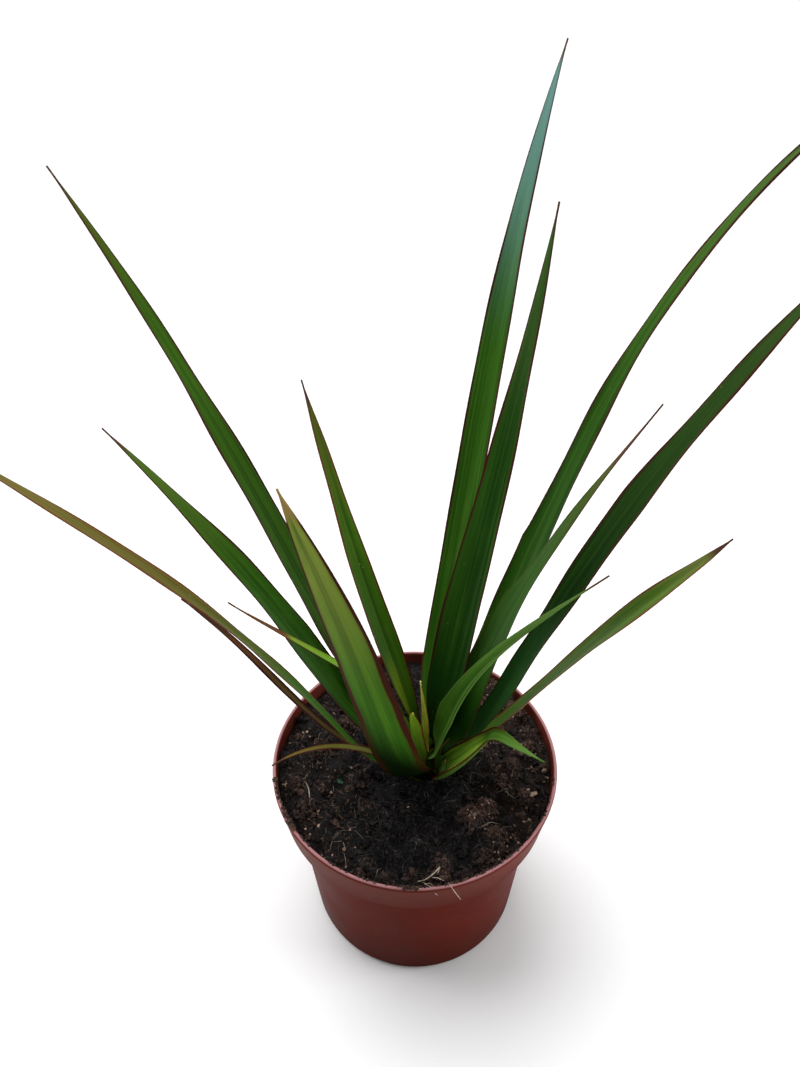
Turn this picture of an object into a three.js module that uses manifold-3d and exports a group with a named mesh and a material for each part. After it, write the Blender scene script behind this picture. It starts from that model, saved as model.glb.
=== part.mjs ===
// A potted bicolor Madagascar dragon tree: a young rosette of strap leaves in a 12 cm nursery pot.
// Millimetres, +Z up, the origin at the centre of the pot's underside, the front of the plant towards -Y.
import * as THREE from "three";
import { mergeVertices } from "three/addons/utils/BufferGeometryUtils.js";
import Module from "manifold-3d";

// Pot
const rimRadius = 60;
const potHeight = 93;
const footRadius = 47.3;
const footEdge = 2.4;
const footRounding = 0.7;
const bodyTopRadius = 52.4;
const collarHeight = 18.3;
const collarFootRadius = 57.4;
const wallThickness = 1.2;
const lipThickness = 1.8;
const lipDepth = 3;
const lipShoulder = 1.6;
const lipRounding = 0.3;
const floorThickness = 2.6;
const drainHoleCount = 8;
const drainHoleRadius = 4.2;
const drainHoleSides = 16;
const drainRingRadius = 30;
const drainChannelWidth = 7;
const drainChannelDepth = 1.1;
const potSides = 64;

// Soil
const fitGap = 0.3;
const soilLevelAtWall = 87.5;
const soilCrown = 1.2;
const soilFrontRise = 1.6;
const soilSides = 56;
const soilRings = 10;
const soilWaves = [
  { rise: 0.9, alongX: 0.21, alongY: 0.15, start: 1.3 },
  { rise: 0.7, alongX: 0.43, alongY: -0.31, start: 2.1 },
  { rise: 0.5, alongX: 0.37, alongY: 0.52, start: 2.3 },
];
const calmRadius = 16;
const calmShare = 0.4;
const crownHoleRadius = 12.4;
const crownHoleDepth = 5;
const rootHoleRadius = 4.6;
const rootHoleDepth = 32;

// Stem and the rings of leaf sheaths round it
const stemAxis = new THREE.Vector2(4.5, 0.5);
const stemRadius = 4.2;
const stemFootRadius = 2.1;
const stemFootLength = 6;
const stemTopRise = 2;
const stemSides = 28;
const innerSheathRadius = 3.9;
const sheathRingStep = 1.2;
const outerRing = 6;
const sheathBaseHeight = 86.4;
const sheathRiseEachRing = 2.2;

// Leaves
const bladeThickness = 0.8;
const tipHalfWidth = 0.45;
const sheathUpright = 8;
const sheathClosed = 4;
const flareLength = 30;
const creaseReach = 0.05;
const lineSteps = 240;
const stationsAlong = 20;
const stationCrowding = 1.25;
const pointsAcross = 5;

// Heading is the way that a leaf points, in degrees from +X towards +Y, and lean its angle from upright, each
// at the base, the middle and the tip, as is twist, the blade's turn about its own line. Flare leans the
// blade further where it leaves the sheath. Ring 0 is the innermost sheath, and wrap is half the angle that
// the sheath spans. At the distance opening the sheath has opened into the blade, a trough of radius channel.
// Tone is the leaf's colour: dark green, light green where the sun shines through, or olive where it ages.
const leaves = [
  { name: "leaf_front_broad", tone: "light", ring: 5, wrap: 40, opening: 16,
    heading: [252, 236.1, 234.2], lean: [7.8, 13.4, 18.2], flare: 48, twist: [28, 18.3, 29.6],
    length: 203.8, width: 17.9, widest: 0.15, taper: 2.76, channel: 24 },
  { name: "leaf_left_arching", tone: "olive", ring: 6, wrap: 8, opening: 60,
    heading: [209, 182.6, 165.5], lean: [-5.4, 34.7, 62.6], flare: 66.6, twist: [0, 11.6, 21.9],
    length: 243.9, width: 7.1, widest: 0.59, taper: 2.08, channel: 12 },
  { name: "leaf_left_thin_low", tone: "olive", ring: 5, wrap: 8, opening: 34,
    heading: [188, 172.9, 165.3], lean: [34.8, 26.5, 52.1], flare: 52.8, twist: [0, 5.6, -3.6],
    length: 123.4, width: 4.1, widest: 0.57, taper: 2.49, channel: 8 },
  { name: "leaf_front_right_bent", tone: "light", ring: 6, wrap: 16, opening: 12,
    heading: [-56, -28.6, -20.1], lean: [21.6, 21.6, 22.6], flare: 13.7, twist: [25.8, 13.7, -33.8],
    length: 74.2, width: 17, widest: 0.27, taper: 1.19, channel: 5.4, crease: { at: 0.72, turn: 90 } },
  { name: "leaf_left_drooping", tone: "olive", ring: 4, wrap: 8, opening: 20,
    heading: [219, 209.6, 208.9], lean: [53, 45.7, 105.6], flare: -2.3, twist: [0, -1.1, -1.7],
    length: 77.8, width: 3.9, widest: 0.41, taper: 2.28, channel: 6 },
  { name: "leaf_right_spreading", tone: "light", ring: 4, wrap: 20, opening: 90,
    heading: [-2, -18.9, 0.7], lean: [9.8, 24.5, 38.5], flare: 55.1, twist: [0, -6.9, 15.8],
    length: 160.3, width: 12.7, widest: 0.6, taper: 1.73, channel: 14 },
  { name: "leaf_back_left_broad", tone: "green", ring: 3, wrap: 38, opening: 34,
    heading: [176, 177.2, 158.4], lean: [11.7, 23, 47.1], flare: 52.6, twist: [0, -5.5, 5.9],
    length: 185.2, width: 16.5, widest: 0.42, taper: 1.15, channel: 20 },
  { name: "leaf_front_cut", tone: "light", ring: 4, wrap: 12, opening: 20,
    heading: [260, 215, 192], lean: [11.3, 9.5, 2], flare: -1.7, twist: [0, 22, 28],
    length: 44, width: 7.4, widest: 0.55, taper: 6, channel: 6 },
  { name: "leaf_right_dark", tone: "green", ring: 3, wrap: 26, opening: 34,
    heading: [-12, 4.6, 4.2], lean: [2.9, 23.7, 39.6], flare: 50.2, twist: [0, 9.4, -11.1],
    length: 263.5, width: 12.1, widest: 0.56, taper: 1.02, channel: 20 },
  { name: "leaf_back_left_tall", tone: "green", ring: 2, wrap: 38, opening: 34,
    heading: [156, 162.9, 162.9], lean: [22.3, 21.1, 31], flare: 32.5, twist: [0, -3, 0.1],
    length: 251.9, width: 13.2, widest: 0.39, taper: 1.62, channel: 18 },
  { name: "leaf_left_short", tone: "light", ring: 2, wrap: 14, opening: 40,
    heading: [217, 198.6, 189.4], lean: [13, 38.6, 41], flare: -20.5, twist: [0, -1.1, -2.3],
    length: 128.4, width: 7.6, widest: 0.11, taper: 1.63, channel: 6 },
  { name: "leaf_right_thin", tone: "green", ring: 1, wrap: 38, opening: 24,
    heading: [-10, -22, 11.6], lean: [3.7, 14.8, 32.3], flare: 28.4, twist: [47.7, 20.9, -18.5],
    length: 183.4, width: 18.9, widest: 0.5, taper: 0.6, channel: 29.6 },
  { name: "leaf_right_creased", tone: "light", ring: 3, wrap: 20, opening: 20,
    heading: [-69.5, -42, 1.5], lean: [5.3, 22.1, 47.1], flare: 7.6, twist: [49.6, 75.6, 0.8],
    length: 148, width: 9.7, widest: 0.33, taper: 0.61, channel: 13.6 },
  { name: "leaf_back_tallest", tone: "green", ring: 1, wrap: 32, opening: 34,
    heading: [82, 58.6, 57.6], lean: [45, 15.7, 34.9], flare: 23.6, twist: [0, 4.4, -2.4],
    length: 273.8, width: 12.3, widest: 0.47, taper: 1.85, channel: 16 },
  { name: "leaf_right_tall", tone: "green", ring: 2, wrap: 38, opening: 30,
    heading: [22, 12.8, 19.5], lean: [38.9, 18.5, 75.4], flare: -14.2, twist: [-14.1, 6.5, 0],
    length: 298.6, width: 16.2, widest: 0.36, taper: 0.6, channel: 13.3 },
  { name: "leaf_back_dark", tone: "green", ring: 0, wrap: 60, opening: 34,
    heading: [28, 29.9, 33.8], lean: [5, 10.8, 7.3], flare: 7.3, twist: [12, 13, 22.2],
    length: 217.4, width: 17.8, widest: 0.31, taper: 1.11, channel: 20 },
  { name: "leaf_back_left_slim", tone: "green", ring: 0, wrap: 56, opening: 40,
    heading: [166, 149.4, 146.7], lean: [25.1, 17, 14.9], flare: -17.5, twist: [0, -0.3, -2.2],
    length: 165.4, width: 14.8, widest: 0.11, taper: 1.92, channel: 14 },
  { name: "leaf_inner_spear", tone: "light", ring: 0, wrap: 28, opening: 20,
    heading: [262, 230, 222], lean: [2, 6, 8], flare: -5, twist: [0, 0, 0],
    length: 46, width: 4, widest: 0.3, taper: 1.6, channel: 3 },
];

const wasm = await Module();
wasm.setup();

const materialOf = {
  pot: new THREE.MeshStandardMaterial({ color: 0x6e3426, roughness: 0.45, metalness: 0 }),
  soil: new THREE.MeshStandardMaterial({ color: 0x1b1413, roughness: 0.95, metalness: 0 }),
  stem: new THREE.MeshStandardMaterial({ color: 0x5c4a32, roughness: 0.85, metalness: 0 }),
  green: new THREE.MeshStandardMaterial({ color: 0x2f5a1c, roughness: 0.4, metalness: 0 }),
  light: new THREE.MeshStandardMaterial({ color: 0x4a6a20, roughness: 0.45, metalness: 0 }),
  olive: new THREE.MeshStandardMaterial({ color: 0x57522a, roughness: 0.55, metalness: 0 }),
};

function named(name, geometry, material) {
  const mesh = new THREE.Mesh(geometry, material.clone());
  mesh.name = name;
  return mesh;
}

// A closed geometry as a solid that can be cut, and back again.
function solidFrom(geometry) {
  const bare = geometry.clone();
  bare.deleteAttribute("normal");
  bare.deleteAttribute("uv");
  const merged = mergeVertices(bare, 1e-4);
  const mesh = new wasm.Mesh({
    numProp: 3,
    vertProperties: merged.attributes.position.array,
    triVerts: new Uint32Array(merged.index.array),
  });
  return new wasm.Manifold(mesh);
}

function geometryFrom(solid) {
  const mesh = solid.getMesh();
  const geometry = new THREE.BufferGeometry();
  geometry.setAttribute("position", new THREE.BufferAttribute(mesh.vertProperties, 3));
  geometry.setIndex(new THREE.BufferAttribute(mesh.triVerts, 1));
  return geometry;
}

// Turns a profile of [radius, height] points round the Z axis.
function turned(profile, sides) {
  const points = profile.map(([radius, height]) => new THREE.Vector2(radius, height));
  return new THREE.LatheGeometry(points, sides).rotateX(Math.PI / 2);
}

// Inner radius of the pot's body, or above its ledge of the collar.
function potInsideRadius(height) {
  const collarFoot = potHeight - collarHeight;
  if (height > collarFoot + wallThickness) {
    const part = (height - collarFoot) / collarHeight;
    return THREE.MathUtils.lerp(collarFootRadius, rimRadius, part) - wallThickness;
  }
  return THREE.MathUtils.lerp(footRadius, bodyTopRadius, height / collarFoot) - wallThickness;
}

function makePot() {
  const collarFoot = potHeight - collarHeight;
  const ledge = collarFoot + wallThickness;
  const underLip = potHeight - lipDepth;
  const shoulder = potHeight - lipShoulder;
  const lipInside = rimRadius - lipThickness;
  const profile = [
    [0, 0],
    [footRadius - footEdge, 0],
    [footRadius - footRounding, footRounding],
    [footRadius, footEdge],
    [bodyTopRadius, collarFoot],
    [collarFootRadius, collarFoot],
    [potInsideRadius(underLip) + wallThickness, underLip],
    [rimRadius, shoulder],
    [rimRadius - lipRounding, potHeight - lipRounding],
    [rimRadius - lipThickness / 2, potHeight],
    [lipInside + lipRounding, potHeight - lipRounding],
    [lipInside, shoulder],
    [potInsideRadius(underLip), underLip],
    [collarFootRadius - wallThickness, ledge],
    [bodyTopRadius - wallThickness, ledge],
    [potInsideRadius(floorThickness), floorThickness],
    [0, floorThickness],
  ];
  let pot = solidFrom(turned(profile, potSides));
  const channelLength = rimRadius - drainRingRadius;
  for (let i = 0; i < drainHoleCount; i++) {
    const angle = ((i + 0.5) / drainHoleCount) * 2 * Math.PI;
    const holeLength = floorThickness * 3;
    const hole = new THREE.CylinderGeometry(drainHoleRadius, drainHoleRadius, holeLength, drainHoleSides);
    hole.rotateX(Math.PI / 2).translate(drainRingRadius, 0, 0).rotateZ(angle);
    const channel = new THREE.BoxGeometry(channelLength, drainChannelWidth, drainChannelDepth * 2);
    channel.translate(drainRingRadius + channelLength / 2, 0, 0).rotateZ(angle);
    pot = pot.subtract(solidFrom(hole)).subtract(solidFrom(channel));
  }
  return named("pot", geometryFrom(pot), materialOf.pot);
}

// Height of the lumpy soil surface over a point of the plan, calmer close to the plant.
function soilHeight(x, y) {
  const radius = Math.hypot(x, y);
  const dome = soilCrown * (1 - (radius / rimRadius) ** 2);
  const front = soilFrontRise * Math.max(0, -y / rimRadius) ** 2;
  const lumps = soilWaves.reduce(
    (sum, wave) => sum + wave.rise * Math.sin(x * wave.alongX + y * wave.alongY + wave.start),
    0,
  );
  const share = radius > calmRadius ? 1 : calmShare;
  return soilLevelAtWall + dome + front + lumps * share;
}

// The soil fills the pot to its stepped inside, and the stem stands in a stepped hole.
function makeSoil() {
  const wallRadius = (height) => potInsideRadius(height) - fitGap;
  const collarFoot = potHeight - collarHeight;
  const overLedge = collarFoot + wallThickness + fitGap;
  const floor = floorThickness + fitGap;
  const profile = [
    [0, floor],
    [wallRadius(floor), floor],
    [wallRadius(collarFoot), collarFoot],
    [wallRadius(collarFoot), overLedge],
    [collarFootRadius - wallThickness - fitGap, overLedge],
  ];
  const brimRadius = wallRadius(soilLevelAtWall) - fitGap;
  for (let i = 0; i <= soilRings; i++) {
    profile.push([brimRadius * (1 - i / soilRings), soilLevelAtWall]);
  }
  const geometry = turned(profile, soilSides);
  const place = geometry.getAttribute("position");
  for (let i = 0; i < place.count; i++) {
    if (place.getZ(i) > soilLevelAtWall - fitGap) place.setZ(i, soilHeight(place.getX(i), place.getY(i)));
  }
  const crownFloor = soilLevelAtWall - crownHoleDepth;
  const hole = turned(
    [
      [0, soilLevelAtWall - rootHoleDepth],
      [rootHoleRadius, soilLevelAtWall - rootHoleDepth],
      [rootHoleRadius, crownFloor],
      [crownHoleRadius, crownFloor],
      [crownHoleRadius, potHeight],
      [0, potHeight],
    ],
    stemSides,
  ).translate(stemAxis.x, stemAxis.y, 0);
  return named("soil", geometryFrom(solidFrom(geometry).subtract(solidFrom(hole))), materialOf.soil);
}

// Radius of the middle of a sheath's wall, and the height at which the sheath starts.
function sheathRadius(ring) {
  return innerSheathRadius + ring * sheathRingStep;
}

function sheathBase(ring) {
  return sheathBaseHeight + (outerRing - ring) * sheathRiseEachRing;
}

// The stem steps in under each ring of sheaths, so that each sheath stands close round it.
function makeStem() {
  const bottom = soilLevelAtWall - rootHoleDepth + fitGap;
  const crownFloor = soilLevelAtWall - crownHoleDepth + fitGap;
  const profile = [
    [0, bottom],
    [stemFootRadius, bottom],
    [stemRadius, bottom + stemFootLength],
    [stemRadius, crownFloor],
  ];
  for (let ring = outerRing; ring >= 0; ring--) {
    const radius = sheathRadius(ring) - bladeThickness / 2 - fitGap;
    const from = ring === outerRing ? crownFloor : sheathBase(ring) - fitGap;
    profile.push([radius, from], [radius, sheathBase(ring - 1) - fitGap]);
  }
  profile.push([0, sheathBase(-1) + stemTopRise]);
  const geometry = turned(profile, stemSides).translate(stemAxis.x, stemAxis.y, 0);
  return named("stem", geometryFrom(solidFrom(geometry)), materialOf.stem);
}

// The value at part u of the curve through a value at the base, the middle and the tip.
function through(values, u) {
  const [base, middle, tip] = values;
  return base * (1 - u) * (1 - 2 * u) + middle * 4 * u * (1 - u) + tip * u * (2 * u - 1);
}

// Points, directions, half widths and bends along a leaf's middle line.
function leafLine(leaf) {
  const { degToRad, lerp, smoothstep } = THREE.MathUtils;
  const first = degToRad(leaf.heading[0]);
  const ringRadius = sheathRadius(leaf.ring);
  const sheathHalf = ringRadius * degToRad(leaf.wrap);
  const point = new THREE.Vector3(
    stemAxis.x + ringRadius * Math.cos(first),
    stemAxis.y + ringRadius * Math.sin(first),
    sheathBase(leaf.ring),
  );
  const stations = [];
  for (let i = 0; i <= lineSteps; i++) {
    const u = i / lineSteps;
    const along = u * leaf.length;
    const sheathFlare = leaf.flare * Math.exp(-along / flareLength);
    let lean = (through(leaf.lean, u) + sheathFlare) * smoothstep(along, 0, sheathUpright);
    if (leaf.crease) {
      const { at, turn } = leaf.crease;
      lean += turn * smoothstep(u, at - creaseReach, at + creaseReach);
    }
    const heading = degToRad(through(leaf.heading, u));
    const tilt = degToRad(lean);
    const direction = new THREE.Vector3(
      Math.sin(tilt) * Math.cos(heading),
      Math.sin(tilt) * Math.sin(heading),
      Math.cos(tilt),
    );
    const past = Math.max(0, (u - leaf.widest) / (1 - leaf.widest));
    const blade = (leaf.width / 2) * (1 - past ** leaf.taper);
    const open = smoothstep(along, sheathClosed, leaf.opening);
    const half = Math.max(tipHalfWidth, lerp(sheathHalf, blade, open));
    const bend = lerp(1 / ringRadius, 1 / leaf.channel, open);
    const across = new THREE.Vector3(-Math.sin(heading), Math.cos(heading), 0);
    across.applyAxisAngle(direction, degToRad(through(leaf.twist, u)) * open);
    stations.push({ point: point.clone(), direction, across, half, bend });
    point.addScaledVector(direction, leaf.length / lineSteps);
  }
  return stations;
}

// A leaf is a closed strip: each cross section is an arc round the stem that opens to a shallow trough,
// and both faces are split into triangles alike.
function makeLeaf(leaf) {
  const line = leafLine(leaf);
  const positions = [];
  const faces = [];
  for (let i = 0; i <= stationsAlong; i++) {
    const part = (i / stationsAlong) ** stationCrowding;
    const station = line[Math.round(part * lineSteps)];
    const up = new THREE.Vector3().crossVectors(station.direction, station.across);
    const arc = station.half * station.bend;
    for (const side of [1, -1]) {
      for (let j = 0; j < pointsAcross; j++) {
        const angle = arc * side * ((2 * j) / (pointsAcross - 1) - 1);
        const radius = 1 / station.bend - (side * bladeThickness) / 2;
        const spot = station.point
          .clone()
          .addScaledVector(station.across, radius * Math.sin(angle))
          .addScaledVector(up, 1 / station.bend - radius * Math.cos(angle));
        positions.push(spot.x, spot.y, spot.z);
      }
    }
  }
  const last = pointsAcross - 1;
  const ring = pointsAcross * 2;
  const top = (i, j) => i * ring + j;
  const under = (i, j) => i * ring + ring - 1 - j;
  for (let i = 0; i < stationsAlong; i++) {
    for (let j = 0; j < last; j++) {
      faces.push(top(i, j), top(i + 1, j), top(i + 1, j + 1));
      faces.push(top(i, j), top(i + 1, j + 1), top(i, j + 1));
      faces.push(under(i, j), under(i + 1, j + 1), under(i + 1, j));
      faces.push(under(i, j), under(i, j + 1), under(i + 1, j + 1));
    }
    faces.push(top(i, 0), under(i, 0), under(i + 1, 0));
    faces.push(top(i, 0), under(i + 1, 0), top(i + 1, 0));
    faces.push(top(i, last), top(i + 1, last), under(i + 1, last));
    faces.push(top(i, last), under(i + 1, last), under(i, last));
  }
  const end = stationsAlong;
  for (let j = 0; j < last; j++) {
    faces.push(top(0, j), top(0, j + 1), under(0, j + 1));
    faces.push(top(0, j), under(0, j + 1), under(0, j));
    faces.push(top(end, j), under(end, j + 1), top(end, j + 1));
    faces.push(top(end, j), under(end, j), under(end, j + 1));
  }
  const geometry = new THREE.BufferGeometry();
  geometry.setAttribute("position", new THREE.Float32BufferAttribute(positions, 3));
  geometry.setIndex(faces);
  return named(leaf.name, geometry, materialOf[leaf.tone]);
}

const plant = new THREE.Group();
plant.add(makePot(), makeSoil(), makeStem());
for (const leaf of leaves) plant.add(makeLeaf(leaf));

export default plant;
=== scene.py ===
# A young bicolor dragon tree in a brown nursery pot, dressed over its CAD model.
import math
import bpy
import numpy as np
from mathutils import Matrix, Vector, noise


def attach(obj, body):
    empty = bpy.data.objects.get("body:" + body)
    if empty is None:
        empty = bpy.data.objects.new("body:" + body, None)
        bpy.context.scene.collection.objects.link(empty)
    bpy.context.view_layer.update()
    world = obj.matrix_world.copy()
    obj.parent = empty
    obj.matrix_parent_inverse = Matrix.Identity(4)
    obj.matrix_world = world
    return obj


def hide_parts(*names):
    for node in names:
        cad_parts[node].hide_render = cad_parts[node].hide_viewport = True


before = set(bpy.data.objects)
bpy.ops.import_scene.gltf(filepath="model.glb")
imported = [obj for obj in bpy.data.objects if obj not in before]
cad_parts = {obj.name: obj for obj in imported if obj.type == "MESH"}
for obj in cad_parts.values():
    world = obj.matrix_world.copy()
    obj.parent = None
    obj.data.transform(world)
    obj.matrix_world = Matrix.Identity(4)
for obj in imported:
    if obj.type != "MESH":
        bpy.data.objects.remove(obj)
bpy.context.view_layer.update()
scene = bpy.context.scene
mm = 0.001
print("frame loaded")


# mesh helpers
def clearSelection():
    if bpy.context.object and bpy.context.object.mode != "OBJECT":
        bpy.ops.object.mode_set(mode="OBJECT")
    bpy.ops.object.select_all(action="DESELECT")


def choose(piece):
    clearSelection()
    piece.select_set(True)
    bpy.context.view_layer.objects.active = piece


def applyModifier(piece, modifier):
    choose(piece)
    bpy.ops.object.modifier_apply(modifier=modifier.name)


def softenEdges(piece, width, segments, degrees):
    soften = piece.modifiers.new("soften", "BEVEL")
    soften.width = width * mm
    soften.segments = segments
    soften.limit_method = "ANGLE"
    soften.angle_limit = math.radians(degrees)
    applyModifier(piece, soften)


def fixSurface(piece, mergeDistance=1e-6):
    # doubles merged first, then the faces turned outwards
    choose(piece)
    bpy.ops.object.mode_set(mode="EDIT")
    bpy.ops.mesh.select_all(action="SELECT")
    bpy.ops.mesh.remove_doubles(threshold=mergeDistance)
    bpy.ops.mesh.normals_make_consistent(inside=False)
    bpy.ops.object.mode_set(mode="OBJECT")


def smoothByAngle(piece, degrees):
    choose(piece)
    bpy.ops.object.shade_smooth_by_angle(angle=math.radians(degrees))


def pointsOf(piece):
    spots = np.empty(len(piece.data.vertices) * 3)
    piece.data.vertices.foreach_get("co", spots)
    return spots.reshape(-1, 3)


def setPoints(piece, spots):
    piece.data.vertices.foreach_set("co", np.asarray(spots, dtype=np.float64).reshape(-1))
    piece.data.update()


def setAttribute(piece, name, values):
    layer = piece.data.attributes.new(name, "FLOAT", "POINT")
    layer.data.foreach_set("value", np.asarray(values, dtype=np.float32))


def smoothStep(value, low, high):
    part = np.clip((value - low) / (high - low), 0, 1)
    return part * part * (3 - 2 * part)


def srgb(*colour):
    # a colour given in 0 to 255, as the shader's linear values
    parts = [value / 255 for value in colour]
    return (*[part / 12.92 if part <= 0.04045 else ((part + 0.055) / 1.055) ** 2.4 for part in parts], 1.0)


# node helpers: a value is a number, a colour or another node's socket, which knows its own tree
def addNode(tree, kind, **settings):
    made = tree.nodes.new(kind)
    for key, value in settings.items():
        setattr(made, key, value)
    return made


def isSocket(value):
    return isinstance(value, bpy.types.NodeSocket)


def treeOf(*values):
    return next(value.id_data for value in values if isSocket(value))


def feed(value, socket):
    if isSocket(value):
        socket.id_data.links.new(value, socket)
    else:
        socket.default_value = value


def fill(node, values):
    for label, value in values.items():
        feed(value, node.inputs[label])
    return node.outputs


def calc(operation, first, second=0.0):
    made = addNode(treeOf(first, second), "ShaderNodeMath", operation=operation)
    return fill(made, {0: first, 1: second})[0]


def times(first, *others):
    for other in others:
        first = calc("MULTIPLY", first, other)
    return first


def plus(first, *others):
    for other in others:
        first = calc("ADD", first, other)
    return first


def minus(first, second):
    return calc("SUBTRACT", first, second)


def awayFrom(value, middle):
    return calc("ABSOLUTE", minus(value, middle))


def ramp(value, low, high, toLow=0.0, toHigh=1.0):
    made = addNode(value.id_data, "ShaderNodeMapRange", interpolation_type="SMOOTHSTEP")
    limits = {"From Min": low, "From Max": high, "To Min": toLow, "To Max": toHigh}
    return fill(made, {"Value": value, **limits})["Result"]


def tint(share, under, over):
    made = addNode(treeOf(share, under, over), "ShaderNodeMix", data_type="RGBA")
    return fill(made, {0: share, 6: under, 7: over})[2]


def layered(colour, *layers):
    # each layer is a mask and the colour that it lays over those before it
    for mask, over in layers:
        colour = tint(mask, colour, over)
    return colour


def noiseAt(place, scale, detail=2.0, rough=0.5, warp=0.0):
    made = addNode(place.id_data, "ShaderNodeTexNoise")
    values = {"Vector": place, "Scale": scale, "Detail": detail, "Roughness": rough, "Distortion": warp}
    return fill(made, values)["Fac"]


def objectPlace(tree):
    return addNode(tree, "ShaderNodeTexCoord").outputs["Object"]


def axesOf(place):
    return fill(addNode(place.id_data, "ShaderNodeSeparateXYZ"), {0: place})


def attributeOf(tree, name):
    return addNode(tree, "ShaderNodeAttribute", attribute_name=name).outputs["Fac"]


def newMaterial(name):
    made = bpy.data.materials.new(name)
    made.use_nodes = True
    return made, made.node_tree, made.node_tree.nodes["Principled BSDF"]


def finishSkin(shader, colour, roughness, specular=0.5, bump=None):
    # a bump is a height, a strength and a depth in metres
    fill(shader, {"Base Color": colour, "Roughness": roughness, "Specular IOR Level": specular})
    if bump:
        height, strength, depth = bump
        made = addNode(shader.id_data, "ShaderNodeBump")
        normal = fill(made, {"Height": height, "Strength": strength, "Distance": depth})["Normal"]
        feed(normal, shader.inputs["Normal"])


# camera, floor and light
cameraPlace = dict(
    # mm from the centre of the pot's underside, and degrees
    spot=(-4.85, -215.4, 386.6), lookDown=38.8, roll=-0.79,
    lens=28.0, sensor=36.0, nearest=0.01,
)
bpy.ops.object.camera_add(
    location=[part * mm for part in cameraPlace["spot"]],
    rotation=(math.radians(90 - cameraPlace["lookDown"]), 0, 0),
)
camera = bpy.context.object
camera.rotation_euler.rotate_axis("Z", math.radians(cameraPlace["roll"]))
camera.data.lens = cameraPlace["lens"]
camera.data.sensor_width = cameraPlace["sensor"]
camera.data.clip_start = cameraPlace["nearest"]
scene.camera = camera

lightPlan = dict(
    # the room is darker behind the camera, and the backdrop is what the camera sees beyond the floor
    skyFront=0.22, skyBack=0.8, skyTurn=(-0.6, 0.5), skyColour=(0.98, 0.99, 1.0, 1.0),
    backdrop=1.1,
    keyPower=2.3, keySpread=50, keyTilt=(-20, -16, 0), keyHeight=2,
    # each lamp's name, place, size and power
    lamps=(("leftLight", (-0.85, 0.12, 0.25), 0.4, 3.0), ("rightLight", (0.85, -0.1, 0.3), 0.45, 5.4)),
    lampAim=(0.0, 0.0, 0.1),
)
keyTurn = [math.radians(turn) for turn in lightPlan["keyTilt"]]
bpy.ops.object.light_add(type="SUN", location=(0, 0, lightPlan["keyHeight"]), rotation=keyTurn)
keyLight = bpy.context.object
keyLight.data.energy = lightPlan["keyPower"]
keyLight.data.angle = math.radians(lightPlan["keySpread"])
for lampName, lampPlace, lampSize, lampPower in lightPlan["lamps"]:
    bpy.ops.object.light_add(type="AREA", location=lampPlace)
    lamp = bpy.context.object
    lamp.name = lampName
    towards = Vector(lightPlan["lampAim"]) - Vector(lampPlace)
    lamp.rotation_euler = towards.to_track_quat("-Z", "Y").to_euler()
    lamp.data.size = lampSize
    lamp.data.energy = lampPower

world = bpy.data.worlds.new("softStudio")
world.use_nodes = True
sky = world.node_tree
skyPlace = axesOf(addNode(sky, "ShaderNodeTexCoord").outputs["Generated"])
skyStrength = ramp(skyPlace[1], *lightPlan["skyTurn"], lightPlan["skyFront"], lightPlan["skyBack"])
cameraRay = addNode(sky, "ShaderNodeLightPath").outputs["Is Camera Ray"]
skySeen = ramp(cameraRay, 0.0, 1.0, skyStrength, lightPlan["backdrop"])
fill(sky.nodes["Background"], {"Color": lightPlan["skyColour"], "Strength": skySeen})
scene.world = world
scene.view_settings.view_transform = "Standard"

floorLook = dict(size=12, colour=(0.9, 0.9, 0.9, 1.0), roughness=0.9)
clearSelection()
bpy.ops.mesh.primitive_plane_add(size=floorLook["size"], location=(0, 0, 0))
floor = bpy.context.object
floor.name = "studioFloor"
floorPaint, _, floorShader = newMaterial("paleFloor")
finishSkin(floorShader, floorLook["colour"], floorLook["roughness"])
floor.data.materials.append(floorPaint)
print("camera, floor and light set")
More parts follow.
